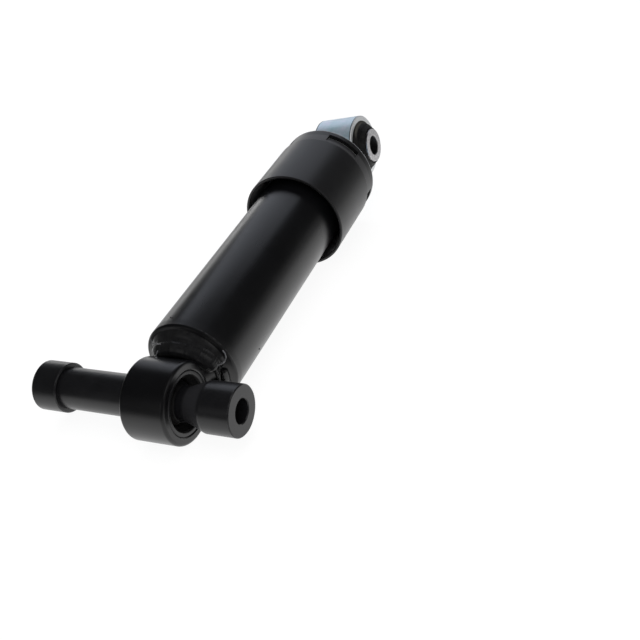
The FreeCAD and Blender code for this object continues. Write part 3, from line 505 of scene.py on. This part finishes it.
SEAL_RUBBER = Finish(
    "seal_rubber", "seal_rubber", (0.012, 0.012, 0.013), (0.02, 0.02, 0.021),
    Grain.RUBBER, 0.45, 0.6, relief=0.00002)
BEARING_BRONZE = Finish(
    "bearing_bronze", "bearing_bronze", (0.48, 0.34, 0.18), (0.6, 0.46, 0.26),
    Grain.LATHE_X, 0.28, 0.4, metallic=1.0)


@dataclass(frozen=True)
class Lamp:
    """A soft lamp that points at the damper, its sides in metres and its power in watts."""

    name: str
    place: Point
    sides: Pair
    power: float
    tint: Colour = (1.0, 1.0, 1.0)
    mirrored: bool = True
    target: Point = (0.12, 0.0, 0.0)

    def build(self) -> None:
        """Hang the lamp and turn it to the point that it lights."""
        light = bpy.data.lights.new(self.name, "AREA")
        light.shape = "RECTANGLE"
        light.size, light.size_y = self.sides
        light.energy = self.power
        light.color = self.tint
        holder = bpy.data.objects.new(self.name, light)
        bpy.context.scene.collection.objects.link(holder)
        away = Vector(self.place) - Vector(self.target)
        turn = away.to_track_quat("Z", "Y").to_matrix().to_4x4()
        holder.matrix_world = Matrix.Translation(Vector(self.place)) @ turn
        holder.visible_camera = False
        holder.visible_glossy = self.mirrored


LAMPS = (
    Lamp("back_panel", (1.355, 0.37, 0.785), (1.4, 0.95), 3.55, tint=(0.93, 0.98, 1.1)),
    Lamp("low_card", (1.2, 1.02, 0.02), (1.1, 0.36), 2.2),
    Lamp("front_card", (-0.96, 0.36, 0.56), (0.5, 0.5), 0.27),
    Lamp("rear_card", (0.12, -1.25, 0.95), (1.3, 0.7), 1.5),
    Lamp("front_fill", (-0.9, -0.7, 0.9), (1.4, 1.4), 11.0, mirrored=False),
    Lamp("overhead_fill", (0.12, 0.0, 2.0), (2.0, 2.0), 24.0, mirrored=False),
)


@dataclass
class Studio:
    """The plain floor, the soft lamps and the white surround."""

    floor_span: float = 8.0
    ring_radius: float = 24.4 * MM
    rim_radius: float = 37.1 * MM
    rim_place: float = 186.2 * MM
    floor_gap: float = 0.2 * MM
    floor_tone: float = 0.14
    seen_glow: float = 0.92
    seen_reach: Pair = (0.5, 2.5)
    mirrored_glow: float = 1.0
    mirrored_middle: Point = (0.12, 0.04, 0.0)
    mirrored_squeeze: Point = (0.5, 1.0, 0.0)
    mirrored_reach: Pair = (0.08, 0.34)
    mirrored_far: float = 0.14
    bounce_glow: float = 0.45
    surround_fill: float = 0.9
    ceiling_tone: float = 0.04
    horizon: Pair = (-0.15, 0.02)

    def build(self) -> None:
        """Set the tone curve and put up floor, surround and lamps."""
        bpy.context.scene.view_settings.view_transform = "Standard"
        self._floor()
        self._surround()
        for lamp in LAMPS:
            lamp.build()

    def _floor(self) -> None:
        """Lay the floor under the lower ring and the cover's rim, which carry the damper."""
        slope = math.atan2(self.rim_radius - self.ring_radius, self.rim_place)
        bpy.ops.mesh.primitive_plane_add(size=self.floor_span)
        floor = bpy.context.object
        floor.name = "studio_floor"
        floor.rotation_euler = (0, slope, 0)
        drop = (self.ring_radius + self.floor_gap) / math.cos(slope)
        floor.location = (0, 0, -drop)
        bpy.ops.object.transform_apply(location=True, rotation=True, scale=True)
        floor.data.materials.append(self._floor_look())

    def _floor_look(self) -> bpy.types.Material:
        """Build a matte white that glows for the camera and, near the damper, in mirrors.

        Returns:
            The floor's material, clear from below.
        """
        made = bpy.data.materials.new("floor_white")
        made.use_nodes = True
        made.node_tree.nodes.clear()
        sheet = NodeSheet(made.node_tree)
        matte = sheet.node("BsdfDiffuse", {"Color": (*[self.floor_tone] * 3, 1)})
        rays = sheet.node("LightPath").outputs
        place = sheet.node("TexCoord").outputs["Object"]
        near = sheet.vector("SUBTRACT", place, self.mirrored_middle)
        apart = sheet.vector("LENGTH", sheet.vector("MULTIPLY", near, self.mirrored_squeeze))
        fade = sheet.spread(apart, *self.mirrored_reach, self.mirrored_glow, self.mirrored_far)
        shown = sheet.spread(apart, *self.seen_reach, self.seen_glow, 1.0)
        seen = sheet.math("MAXIMUM", rays["Is Camera Ray"], rays["Is Transmission Ray"])
        mirrored = sheet.times(rays["Is Glossy Ray"], fade)
        bounced = sheet.times(rays["Is Diffuse Ray"], self.bounce_glow)
        level = sheet.plus(sheet.times(seen, shown), sheet.plus(mirrored, bounced))
        glow = sheet.node("Emission", {"Strength": level})
        both = sheet.node("AddShader", {0: matte.outputs[0], 1: glow.outputs[0]})
        clear = sheet.node("BsdfTransparent")
        below = sheet.node("NewGeometry").outputs["Backfacing"]
        side = sheet.node("MixShader", {0: below, 1: both.outputs[0], 2: clear.outputs[0]})
        sheet.node("OutputMaterial", {"Surface": side.outputs[0]})
        made.cycles.emission_sampling = "NONE"
        return made

    def _surround(self) -> None:
        """Fill the world with white for the camera and a softer light for the object."""
        world = bpy.data.worlds.new("surround")
        bpy.context.scene.world = world
        world.use_nodes = True
        world.node_tree.nodes.clear()
        sheet = NodeSheet(world.node_tree)
        rays = sheet.node("LightPath").outputs
        way = sheet.node("TexCoord").outputs["Generated"]
        part = sheet.node("SeparateXYZ", {"Vector": way})
        height = sheet.spread(part.outputs["Z"], *self.horizon, 1.0, self.ceiling_tone)
        plain = sheet.math("MAXIMUM", rays["Is Camera Ray"], rays["Is Transmission Ray"])
        mirrored = sheet.times(rays["Is Glossy Ray"], height)
        other = sheet.math("SUBTRACT", 1.0, sheet.math("MAXIMUM", plain, rays["Is Glossy Ray"]))
        fill = sheet.times(sheet.times(other, height), self.surround_fill)
        level = sheet.plus(sheet.math("MAXIMUM", plain, mirrored), fill)
        back = sheet.node("Background", {"Strength": level, "Color": (1, 1, 1, 1)})
        sheet.node("OutputWorld", {"Surface": back.outputs[0]})


@dataclass(frozen=True)
class Viewpoint:
    """The photograph's camera."""

    place: Point = (-0.28121, -0.28410, 0.31309)
    ahead: Point = (0.68752, 0.41804, -0.59377)
    upward: Point = (0.62502, 0.07562, 0.77694)
    lens: float = 49.171
    sensor: float = 36.0
    pixels: float = 640.0
    clip: Pair = (0.01, 50.0)

    def axes(self) -> tuple[Vector, Vector, Vector]:
        """Find how the camera is turned.

        Returns:
            Its right, up and backward directions.
        """
        back = -Vector(self.ahead).normalized()
        right = Vector(self.upward).cross(back).normalized()
        return right, back.cross(right), back

    def sight(self, pixel: Pair) -> tuple[Vector, Vector]:
        """Find the line of sight through a point of the photograph.

        Args:
            pixel: The point, counted from the photograph's top left corner.

        Returns:
            Where the line starts and its direction.
        """
        right, up, back = self.axes()
        focal = self.lens / self.sensor * self.pixels
        across, down = (value - self.pixels / 2 for value in pixel)
        return Vector(self.place), (right * across - up * down - back * focal).normalized()

    def build(self) -> None:
        """Set the camera up and make it the scene's."""
        data = bpy.data.cameras.new("photo_view")
        data.lens = self.lens
        data.sensor_width = self.sensor
        data.clip_start, data.clip_end = self.clip
        holder = bpy.data.objects.new("photo_view", data)
        bpy.context.scene.collection.objects.link(holder)
        turn = Matrix(self.axes()).transposed().to_4x4()
        holder.matrix_world = Matrix.Translation(Vector(self.place)) @ turn
        bpy.context.scene.camera = holder


@dataclass(frozen=True)
class Bench:
    """Short calls for shaping a piece with the modelling operators."""

    bead_segments: int = 8
    bead_rings: int = 6
    bead_radius: float = 1.04
    bead_waterline: float = -0.05
    bead_flatness: float = 0.7
    ring_steps: int = 128
    merge_distance: float = 0.004 * MM

    def clear(self) -> None:
        """Leave nothing selected."""
        bpy.ops.object.select_all(action="DESELECT")

    def pick(self, *pieces: Piece) -> None:
        """Select pieces and make the last one active.

        Args:
            *pieces: The pieces.
        """
        self.clear()
        for piece in pieces:
            piece.select_set(True)
            bpy.context.view_layer.objects.active = piece

    def copy(self, piece: Piece, place: Matrix) -> Piece:
        """Copy a piece with a mesh of its own and put the copy in its place.

        Args:
            piece: The piece.
            place: The copy's transform.

        Returns:
            The copy.
        """
        twin = piece.copy()
        twin.data = piece.data.copy()
        bpy.context.scene.collection.objects.link(twin)
        twin.matrix_world = place
        return twin

    def join(self, name: str, pieces: list[Piece]) -> Piece:
        """Join pieces into one that stands untransformed at the origin.

        Args:
            name: The joined piece's name.
            pieces: The pieces to join.

        Returns:
            The joined piece.
        """
        bpy.context.view_layer.update()
        self.pick(*pieces)
        bpy.ops.object.transform_apply(location=True, rotation=True, scale=True)
        if len(pieces) > 1:
            bpy.ops.object.join()
        whole = bpy.context.object
        whole.name = whole.data.name = name
        return whole

    def apply(self, piece: Piece, kind: str, **settings: object) -> None:
        """Add a modifier to a piece and apply it.

        Args:
            piece: The piece.
            kind: Blender's name for the modifier's type.
            **settings: Properties of the modifier.
        """
        self.pick(piece)
        made = piece.modifiers.new(kind.lower(), kind)
        for key, value in settings.items():
            setattr(made, key, value)
        bpy.ops.object.modifier_apply(modifier=made.name)

    def lathe(self, name: str, profile: Profile, axis: Point, steps: int = ring_steps) -> Piece:
        """Turn a closed profile into a ring about an axis through the origin.

        Args:
            name: The ring's name.
            profile: The profile's corners in millimetres, each along the axis and out from it.
            axis: The axis.
            steps: How many steps make the turn.

        Returns:
            The ring.
        """
        self.clear()
        bpy.ops.mesh.primitive_plane_add(size=MM)
        ring = bpy.context.object
        ring.name = ring.data.name = name
        bpy.ops.object.mode_set(mode="EDIT")
        bpy.ops.mesh.select_all(action="SELECT")
        bpy.ops.mesh.merge(type="CENTER")
        side = Vector(axis).orthogonal().normalized()
        spots = [(Vector(axis) * along + side * out) * MM for along, out in profile]
        bpy.ops.transform.translate(value=spots[0])
        for before, after in zip(spots, spots[1:] + spots[:1]):
            bpy.ops.mesh.extrude_region_move(TRANSFORM_OT_translate={"value": after - before})
        bpy.ops.mesh.select_all(action="SELECT")
        bpy.ops.mesh.spin(steps=steps, angle=math.tau, center=(0.0, 0.0, 0.0), axis=axis)
        bpy.ops.mesh.select_all(action="SELECT")
        bpy.ops.mesh.remove_doubles(threshold=self.merge_distance)
        bpy.ops.mesh.normals_make_consistent(inside=False)
        bpy.ops.object.mode_set(mode="OBJECT")
        return ring

    def bead_profile(self, along: float, out: float, radius: float, corners: int = 10) -> Profile:
        """Find the corners of a round bead's profile, in millimetres."""
        turns = [math.tau * corner / corners for corner in range(corners)]
        return [(along + radius * math.cos(turn), out + radius * math.sin(turn)) for turn in turns]

    def bead_blank(self) -> Piece:
        """Shape a bead about one unit in radius, flatter below where it melts into the metal.

        Returns:
            The bead, to be copied.
        """
        self.clear()
        bpy.ops.mesh.primitive_uv_sphere_add(segments=self.bead_segments, ring_count=self.bead_rings,
                                             radius=self.bead_radius)
        blank = bpy.context.object
        bpy.ops.object.mode_set(mode="EDIT")
        bpy.ops.mesh.select_all(action="DESELECT")
        bpy.ops.object.mode_set(mode="OBJECT")
        for vertex in blank.data.vertices:
            vertex.select = vertex.co.z < self.bead_waterline
        bpy.ops.object.mode_set(mode="EDIT")
        bpy.ops.transform.resize(value=(1.0, 1.0, self.bead_flatness),
                                 center_override=(0.0, 0.0, 0.0))
        bpy.ops.object.mode_set(mode="OBJECT")
        return blank


@dataclass
class Ground:
    """Surfaces that small pieces are set down on."""

    pieces: list[Piece]

    def landing(self, start: Vector, way: Vector) -> tuple[Vector, Vector] | None:
        """Find where a line first meets the surfaces.

        Args:
            start: Where the line starts.
            way: Its direction.

        Returns:
            The point and the surface's normal there, or nothing.
        """
        hits = []
        for piece in self.pieces:
            met, point, normal, _ = piece.ray_cast(start, way)
            if met:
                hits.append(((point - start).length, point.copy(), normal.copy()))
        if not hits:
            return None
        return min(hits, key=lambda hit: hit[0])[1:]


@dataclass
class SubAssembly:
    """A group of nodes that is dressed together."""

    effects: Effects
    bench: Bench
    view: Viewpoint

    def finish(self, piece: Piece, finish: Finish, body: str) -> None:
        """Give a new piece its finish and the body that carries it.

        Args:
            piece: The piece.
            finish: Its finish.
            body: The body's name.
        """
        self.bench.pick(piece)
        bpy.ops.object.shade_smooth()
        piece.data.materials.clear()
        piece.data.materials.append(finish.material(self.effects))
        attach(piece, body)
        LOG.info("%s made, %d faces", piece.name, len(piece.data.polygons))

    def dress(self, finish: Finish, *nodes: str) -> None:
        """Give nodes of the frame a finish in place of their plain one.

        Args:
            finish: The finish.
            *nodes: Names of the nodes.
        """
        for name in nodes:
            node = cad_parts[name]
            node.data.materials.clear()
            node.data.materials.append(finish.material(self.effects))
            LOG.info("%s dressed as %s", name, finish.name)


@dataclass
class LowerEye(SubAssembly):
    """The lower ring, its bush and its long sleeve."""

    wall: Profile = (
        (13.6, 16.48), (13.0, 16.28), (12.0, 16.02), (10.8, 15.62), (9.6, 15.05), (8.6, 14.5),
        (7.2, 13.9), (6.2, 14.2), (6.2, 16.6), (13.6, 16.6))
    boot: Profile = (
        (12.4, 10.56), (12.3, 10.72), (11.6, 10.98), (10.6, 11.35), (9.4, 11.9), (8.2, 12.6),
        (7.0, 13.2), (6.0, 13.0), (6.0, 10.56))

    def build(self) -> None:
        """Dress the lower eye."""
        self.dress(BLACK_PAINT, "lower_eye_ring")
        self.dress(SHELL_PAINT, "lower_bush_shell")
        self.dress(BUSH_RUBBER, "lower_bush_rubber")
        self.dress(SLEEVE_PAINT, "lower_inner_sleeve", "lower_far_collar")
        self._skin("lower_bush_skin_near", self.wall, -1.0)
        self._skin("lower_bush_skin_far", self.wall, 1.0)
        self._skin("lower_bush_boot_near", self.boot, -1.0)

    def _skin(self, name: str, profile: Profile, side: float) -> None:
        """Turn moulded rubber that runs out on the steel beside the bush.

        Args:
            name: The piece's name.
            profile: Its profile: how far from the bush's middle and how far out, in millimetres.
            side: Which side of the bush it is on.
        """
        skin = self.bench.lathe(name, [(side * along, out) for along, out in profile], ALONG_Y)
        self.finish(skin, BUSH_RUBBER, "reservoir")


@dataclass
class Reservoir(SubAssembly):
    """The outer tube, its cap, the welds and what is fixed in it."""

    def build(self) -> None:
        """Dress the reservoir."""
        self.dress(BLACK_PAINT, "reservoir_tube", "bottom_cap")
        self.dress(WELD_PAINT, "lower_eye_weld")
        self.dress(DRAWN_STEEL, "pressure_tube", "base_valve_rivet", "base_valve_spacer")
        self.dress(SINTERED_IRON, "base_valve_body", "rod_guide")
        self.dress(SPRING_STEEL, "base_star_spring", "base_intake_plate")
        self.dress(SPRING_STEEL, *(f"base_bleed_shim_{count}" for count in (1, 2, 3)))
        self.dress(BEARING_BRONZE, "guide_bush")
        self.dress(SEAL_RUBBER, "rod_seal", "guide_ring_seal")
        self.dress(DRAWN_STEEL, "guide_cover_plate")


@dataclass(frozen=True)
class Blob:
    """One puddle of a weld: where it lies, its travel, its outward side and its half sizes."""

    place: Vector
    along: Vector
    outward: Vector
    half: Point

    def matrix(self) -> Matrix:
        """Find the transform that puts a bead of one unit here.

        Returns:
            The transform.
        """
        up = self.outward.normalized()
        across = up.cross(self.along).normalized()
        turn = Matrix((across.cross(up), across, up)).transposed().to_4x4()
        return Matrix.Translation(self.place) @ turn @ Matrix.Diagonal((*self.half, 1.0))


@dataclass(frozen=True)
class Pass:
    """One pass of the torch round the lower ring, by angle in degrees from +Y toward +Z.

    Beside the ring and above it, a place is how far along the damper and how far out from its
    axis the pass's middle line lies, in millimetres. The half sizes are those of one puddle.
    """

    start: float
    end: float
    side: Pair
    top: Pair
    half: Point

    def place(self, angle: float) -> Vector:
        """Find the pass's middle line at an angle.

        Args:
            angle: The angle, in radians.

        Returns:
            The point.
        """
        across, up = math.cos(angle), math.sin(angle)
        reach = 1.0 / math.hypot(across / self.side[1], up / self.top[1])
        along = self.top[0] + (self.side[0] - self.top[0]) * across * across
        return Vector((along, reach * across, reach * up)) * MM


INNER_SIDE, INNER_TOP = (25.2, 21.6), (24.0, 18.6)
MIDDLE_SIDE, MIDDLE_TOP = (27.6, 23.2), (27.2, 22.0)
OUTER_SIDE, OUTER_TOP = (29.9, 25.0), (29.9, 25.2)
PASSES = (
    Pass(42, 161, INNER_SIDE, INNER_TOP, (2.6, 5.4, 4.5)),
    Pass(38, 162.5, OUTER_SIDE, OUTER_TOP, (2.6, 3.5, 1.7)),
    Pass(46, 158, MIDDLE_SIDE, MIDDLE_TOP, (2.6, 2.8, 2.3)),
    Pass(24, -26, (25.0, 19.6), (24.0, 19.6), (2.0, 3.7, 3.4)),
    Pass(168, 192, (26.0, 20.6), (26.0, 20.6), (1.3, 1.5, 1.7)),
    Pass(181, 201, (29.2, 23.6), (29.2, 23.6), (1.8, 2.6, 2.2)),
    Pass(200, 325, INNER_SIDE, INNER_TOP, (2.6, 5.2, 4.4)),
    Pass(203, 328, OUTER_SIDE, OUTER_TOP, (2.6, 3.4, 1.6)),
    Pass(205, 320, MIDDLE_SIDE, MIDDLE_TOP, (2.6, 2.8, 2.3)),
)

RIGHT_LIP = ((223.2, 351.0), (225.0, 353.5), (226.0, 357.5), (224.6, 361.6), (221.0, 364.2),
             (217.0, 365.4))
LEFT_LIP = ((150.8, 338.0), (151.6, 341.0), (152.4, 344.2))
LEFT_LIP_TURN = ((152.4, 344.2), (156.5, 344.0), (161.0, 344.4))
LEFT_LIP_FOOT = ((157.6, 351.2), (156.4, 354.5), (156.2, 359.0))
NEAR_DRIP = ((219.0, 366.0), (219.6, 370.0), (219.2, 374.0), (219.8, 379.5))
FAR_DRIP = ((222.4, 365.6), (222.0, 369.5), (222.8, 374.0), (222.4, 378.5))
NIB_SPOT = (259.3, 349.0)


@dataclass
class Welding(SubAssembly):
    """Weld runs that show over the plain weld solids, with their lips, drips and spatter."""

    seed: int = 7
    pitch: float = 1.25 * MM
    puddle_range: Pair = (0.98, 1.02)
    lean: float = 0.8
    glance: float = 0.02
    end_share: float = 0.88
    end_beads: tuple[int, int] = (3, 2)
    trail_density: float = 1.6
    trail_stretch: float = 1.4
    trail_range: Pair = (0.85, 1.1)
    drip_wander: float = 0.3 * MM
    spatter_count: int = 14
    spatter_band: Pair = (8.0, 30.0)
    spatter_sizes: Pair = (0.22, 0.5)
    spatter_start: float = 70.0 * MM
    spatter_slant: float = 0.25
    nib_half: Point = (0.9 * MM, 0.4 * MM, 0.4 * MM)
    nib_way: Point = (0.0, 0.3, 1.0)
    upper_share: float = 0.55
    upper_beads: int = 84
    upper_start: float = 60.0 * MM
    upper_sink: float = 1.1 * MM
    upper_half: Pair = (1.3 * MM, 1.9 * MM)
    upper_range: Pair = (0.95, 1.05)

    def build(self) -> None:
        """Lay the runs of both eyes."""
        self.chance = random.Random(self.seed)
        self.blank = self.bench.bead_blank()
        run = self._lower_run()
        self.ground = self._ground("lower_eye_ring", "lower_eye_weld", "bottom_cap", "reservoir_tube")
        self.ground.pieces.insert(0, run)
        self._lips()
        self._drips()
        self._spatter()
        self._upper_run()
        self.bench.pick(self.blank)
        bpy.ops.object.delete()

    def _ground(self, *nodes: str) -> Ground:
        """Gather nodes of the frame as the ground of small pieces."""
        return Ground([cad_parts[name] for name in nodes])

    def _weave(self, name: str, blobs: list[Blob], grid: float, rounds: int,
               finish: Finish = WELD_PAINT, body: str = "reservoir") -> Piece:
        """Melt blobs into one skin.

        Args:
            name: The piece's name.
            blobs: The blobs.
            grid: How fine the skin is.
            rounds: How often the skin is smoothed.
            finish: The skin's finish.
            body: The body that carries it.

        Returns:
            The piece.
        """
        copies = [self.bench.copy(self.blank, blob.matrix()) for blob in blobs]
        piece = self.bench.join(name, copies)
        self.bench.apply(piece, "REMESH", mode="VOXEL", voxel_size=grid)
        self.bench.apply(piece, "SMOOTH", factor=0.5, iterations=rounds)
        self.finish(piece, finish, body)
        return piece

    def _lower_run(self) -> Piece:
        """Lay the overlapping passes round the lower ring.

        Returns:
            The run.
        """
        blobs = []
        first_beads, last_beads = self.end_beads
        for run in PASSES:
            first, last = math.radians(run.start), math.radians(run.end)
            count = int(abs(last - first) * run.side[1] * MM / self.pitch)
            for step in range(count + 1):
                angle = first + (last - first) * step / count
                place = run.place(angle)
                along = run.place(angle + self.glance) - run.place(angle - self.glance)
                outward = Vector((0, place.y, place.z)).normalized() - Vector((self.lean, 0, 0))
                full = min(step / first_beads, (count - step) / last_beads, 1.0)
                swell = self.end_share + (1.0 - self.end_share) * full
                swell *= self.chance.uniform(*self.puddle_range) * MM
                long, wide, tall = run.half
                blobs.append(Blob(place, along, outward, (long * MM, wide * swell, tall * swell)))
        return self._weave("lower_weld_run", blobs, grid=0.34 * MM, rounds=9)

    def _trail(self, corners: Profile, half: float, sink: float) -> list[Blob]:
        """Set small blobs along a line that is drawn on the photograph.

        Args:
            corners: The line's corners, in pixels of the photograph.
            half: Half the width of a blob.
            sink: How much of its height is under the surface.

        Returns:
            The blobs.
        """
        found = []
        for first, last in zip(corners, corners[1:]):
            parts = max(2, int(math.dist(first, last) * self.trail_density))
            for part in range(parts):
                share = part / parts
                spot = tuple(a + (b - a) * share for a, b in zip(first, last))
                landed = self.ground.landing(*self.view.sight(spot))
                if landed:
                    found.append(landed)
        blobs = []
        for index, (point, normal) in enumerate(found):
            before = found[max(index - 1, 0)][0]
            after = found[min(index + 1, len(found) - 1)][0]
            size = half * self.chance.uniform(*self.trail_range)
            sizes = (size * self.trail_stretch, size, size)
            blobs.append(Blob(point - normal * half * sink, after - before, normal, sizes))
        return blobs

    def _trails(self, lines: Sequence[Profile], half: float, sink: float) -> list[Blob]:
        """Set small blobs along several lines, one after the other."""
        return [blob for line in lines for blob in self._trail(line, half, sink)]

    def _lips(self) -> None:
        """Roll the thin lips where a run stopped, right and left of the lower ring, in a light grey
        that paints a highlight along them.
        """
        lines = (RIGHT_LIP, LEFT_LIP, LEFT_LIP_TURN, LEFT_LIP_FOOT)
        blobs = self._trails(lines, half=0.5 * MM, sink=0.2)
        self._weave("lower_weld_lips", blobs, grid=0.16 * MM, rounds=2, finish=LIP_PAINTED_HIGHLIGHT)

    def _drips(self) -> None:
        """Hang rough drips under the run's right end."""
        rough = []
        for blob in self._trails((NEAR_DRIP, FAR_DRIP), half=0.6 * MM, sink=0.6):
            astray = [self.chance.uniform(-self.drip_wander, self.drip_wander) for _ in range(3)]
            rough.append(Blob(blob.place + Vector(astray), blob.along, blob.outward, blob.half))
        self._weave("lower_weld_drips", rough, grid=0.2 * MM, rounds=1)

    def _spatter(self) -> None:
        """Scatter small hard beads about the lower weld, and one paint nib on the tube."""
        blobs = []
        while len(blobs) < self.spatter_count:
            angle = self.chance.uniform(0.0, math.tau)
            across, up = math.cos(angle), math.sin(angle)
            along = self.chance.uniform(*self.spatter_band) * MM
            start = Vector((along, self.spatter_start * across, self.spatter_start * up))
            way = Vector((self.spatter_slant, -across, -up)).normalized()
            landed = self.ground.landing(start, way)
            if landed:
                point, normal = landed
                size = self.chance.uniform(*self.spatter_sizes) * MM
                blobs.append(Blob(point, normal.orthogonal(), normal, (size, size, size)))
        nib = self.ground.landing(*self.view.sight(NIB_SPOT))
        if nib:
            blobs.append(Blob(nib[0], Vector(self.nib_way), nib[1], self.nib_half))
        beads = [self.bench.copy(self.blank, blob.matrix()) for blob in blobs]
        piece = self.bench.join("lower_weld_spatter", beads)
        self.finish(piece, WELD_PAINT, "reservoir")

    def _upper_run(self) -> None:
        """Lay the plated run between the stem and the upper ring."""
        ground = self._ground("upper_eye_weld", "upper_stem", "upper_eye_ring")
        low, high = (Vector(corner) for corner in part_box("upper_eye_weld"))
        middle = Vector((low.x + (high.x - low.x) * self.upper_share, 0, 0))
        long, wide = self.upper_half
        blobs = []
        for turn in range(self.upper_beads):
            angle = math.tau * turn / self.upper_beads
            outward = Vector((0.0, math.cos(angle), math.sin(angle)))
            landed = ground.landing(middle + outward * self.upper_start, -outward)
            if landed:
                size = wide * self.chance.uniform(*self.upper_range)
                along = Vector((0.0, -outward.z, outward.y))
                place = landed[0] - outward * self.upper_sink
                blobs.append(Blob(place, along, outward, (long, size, size)))
        self._weave("upper_weld_run", blobs, grid=0.25 * MM, rounds=2, finish=ZINC_PLATE,
                    body="rod_assembly")


@dataclass
class Rod(SubAssembly):
    """The rod with its piston and stops."""

    def build(self) -> None:
        """Dress the rod."""
        self.dress(CHROMED_ROD, "piston_rod")
        self.dress(SINTERED_IRON, "piston")
        self.dress(BEARING_PLASTIC, "piston_band")
        self.dress(SPRING_STEEL, "piston_intake_plate", "piston_star_spring")
        self.dress(SPRING_STEEL, *(f"piston_rebound_shim_{count}" for count in (1, 2, 3)))
        self.dress(DRAWN_STEEL, "piston_spacer", "piston_keeper", "piston_washer", "piston_nut",
                   "rebound_stop_ring")
        self.dress(SEAL_RUBBER, "rebound_rubber", "bump_stop")


@dataclass
class DustCover(SubAssembly):
    """The moulded cover and the disc that carries it.

    The trim's profiles are in millimetres, each corner along the damper and out from its axis.
    The tongue, the ledge shade pad and the shade baffle are whole rings that show only in the
    windows; the pad and the baffle are near-black rings that paint shade there.
    """

    steps: int = 192
    edge_bead: Point = (254.4, 35.98, 0.3)
    tongue: Profile = (
        (245.2, 34.3), (245.2, 35.34), (245.9, 35.19), (247.6, 34.78), (248.8, 34.5), (248.8, 34.3))
    ledge_shade_pad: Profile = ((248.9, 35.1), (248.9, 35.35), (250.66, 35.35), (250.66, 35.1))
    shade_baffle: Profile = ((244.6, 32.6), (244.6, 33.07), (250.64, 33.07), (250.64, 32.6))

    def build(self) -> None:
        """Dress the cover."""
        self.dress(COVER_PLASTIC, "dust_cover")
        self.dress(ZINC_PLATE, "cover_disc")
        # The edge bead's light grey finish paints a highlight line along the cover's top edge.
        self._ring("cover_edge_bead", self.bench.bead_profile(*self.edge_bead), COVER_EDGE_HIGHLIGHT)
        self._ring("cover_ramp_tongue", self.tongue, COVER_PLASTIC)
        # The pad and the baffle are dark rings that paint shade in the windows.
        self._ring("cover_ledge_shade_pad", self.ledge_shade_pad, WINDOW_SHADE_PAD)
        self._ring("cover_shade_baffle", self.shade_baffle, WINDOW_SHADE_PAD)

    def _ring(self, name: str, profile: Profile, finish: Finish) -> None:
        """Turn a ring of trim about the damper's axis."""
        self.finish(self.bench.lathe(name, profile, ALONG_X, self.steps), finish, "rod_assembly")


@dataclass
class UpperEye(SubAssembly):
    """The plated upper ring, its stem, rubber and sleeve."""

    beads: dict[str, Point] = field(default_factory=lambda: {
        "flash": (16.5, 19.3, 0.4), "lip": (23.2, 13.7, 0.5), "rib": (20.2, 16.5, 0.45)})

    def build(self) -> None:
        """Dress the upper eye."""
        self.dress(ZINC_PLATE, "upper_eye_ring", "upper_stem", "upper_eye_weld")
        self.dress(BUSH_RUBBER, "upper_bush_rubber")
        self.dress(SLEEVE_STEEL, "upper_inner_sleeve")
        place = Matrix.Translation(Vector(UPPER_MIDDLE)) @ Matrix.Rotation(-UPPER_ROLL, 4, "X")
        for ending, side in (("near", -1.0), ("far", 1.0)):
            for kind, (along, out, radius) in self.beads.items():
                bead = self.bench.bead_profile(side * along, out, radius)
                ring = self.bench.lathe(f"upper_bush_{kind}_{ending}", bead, ALONG_Y)
                ring.matrix_world = place
                self.finish(self.bench.join(ring.name, [ring]), BUSH_RUBBER, "rod_assembly")


def main() -> None:
    """Build the scene's parts in order."""
    logging.basicConfig(level=logging.INFO, format="%(name)s: %(message)s")
    bpy.ops.object.select_all(action="DESELECT")
    effects, bench, view = Effects(), Bench(), Viewpoint()
    view.build()
    Studio().build()
    for part in (LowerEye, Reservoir, Welding, Rod, DustCover, UpperEye):
        part(effects, bench, view).build()


if __name__ == "__main__":
    main()
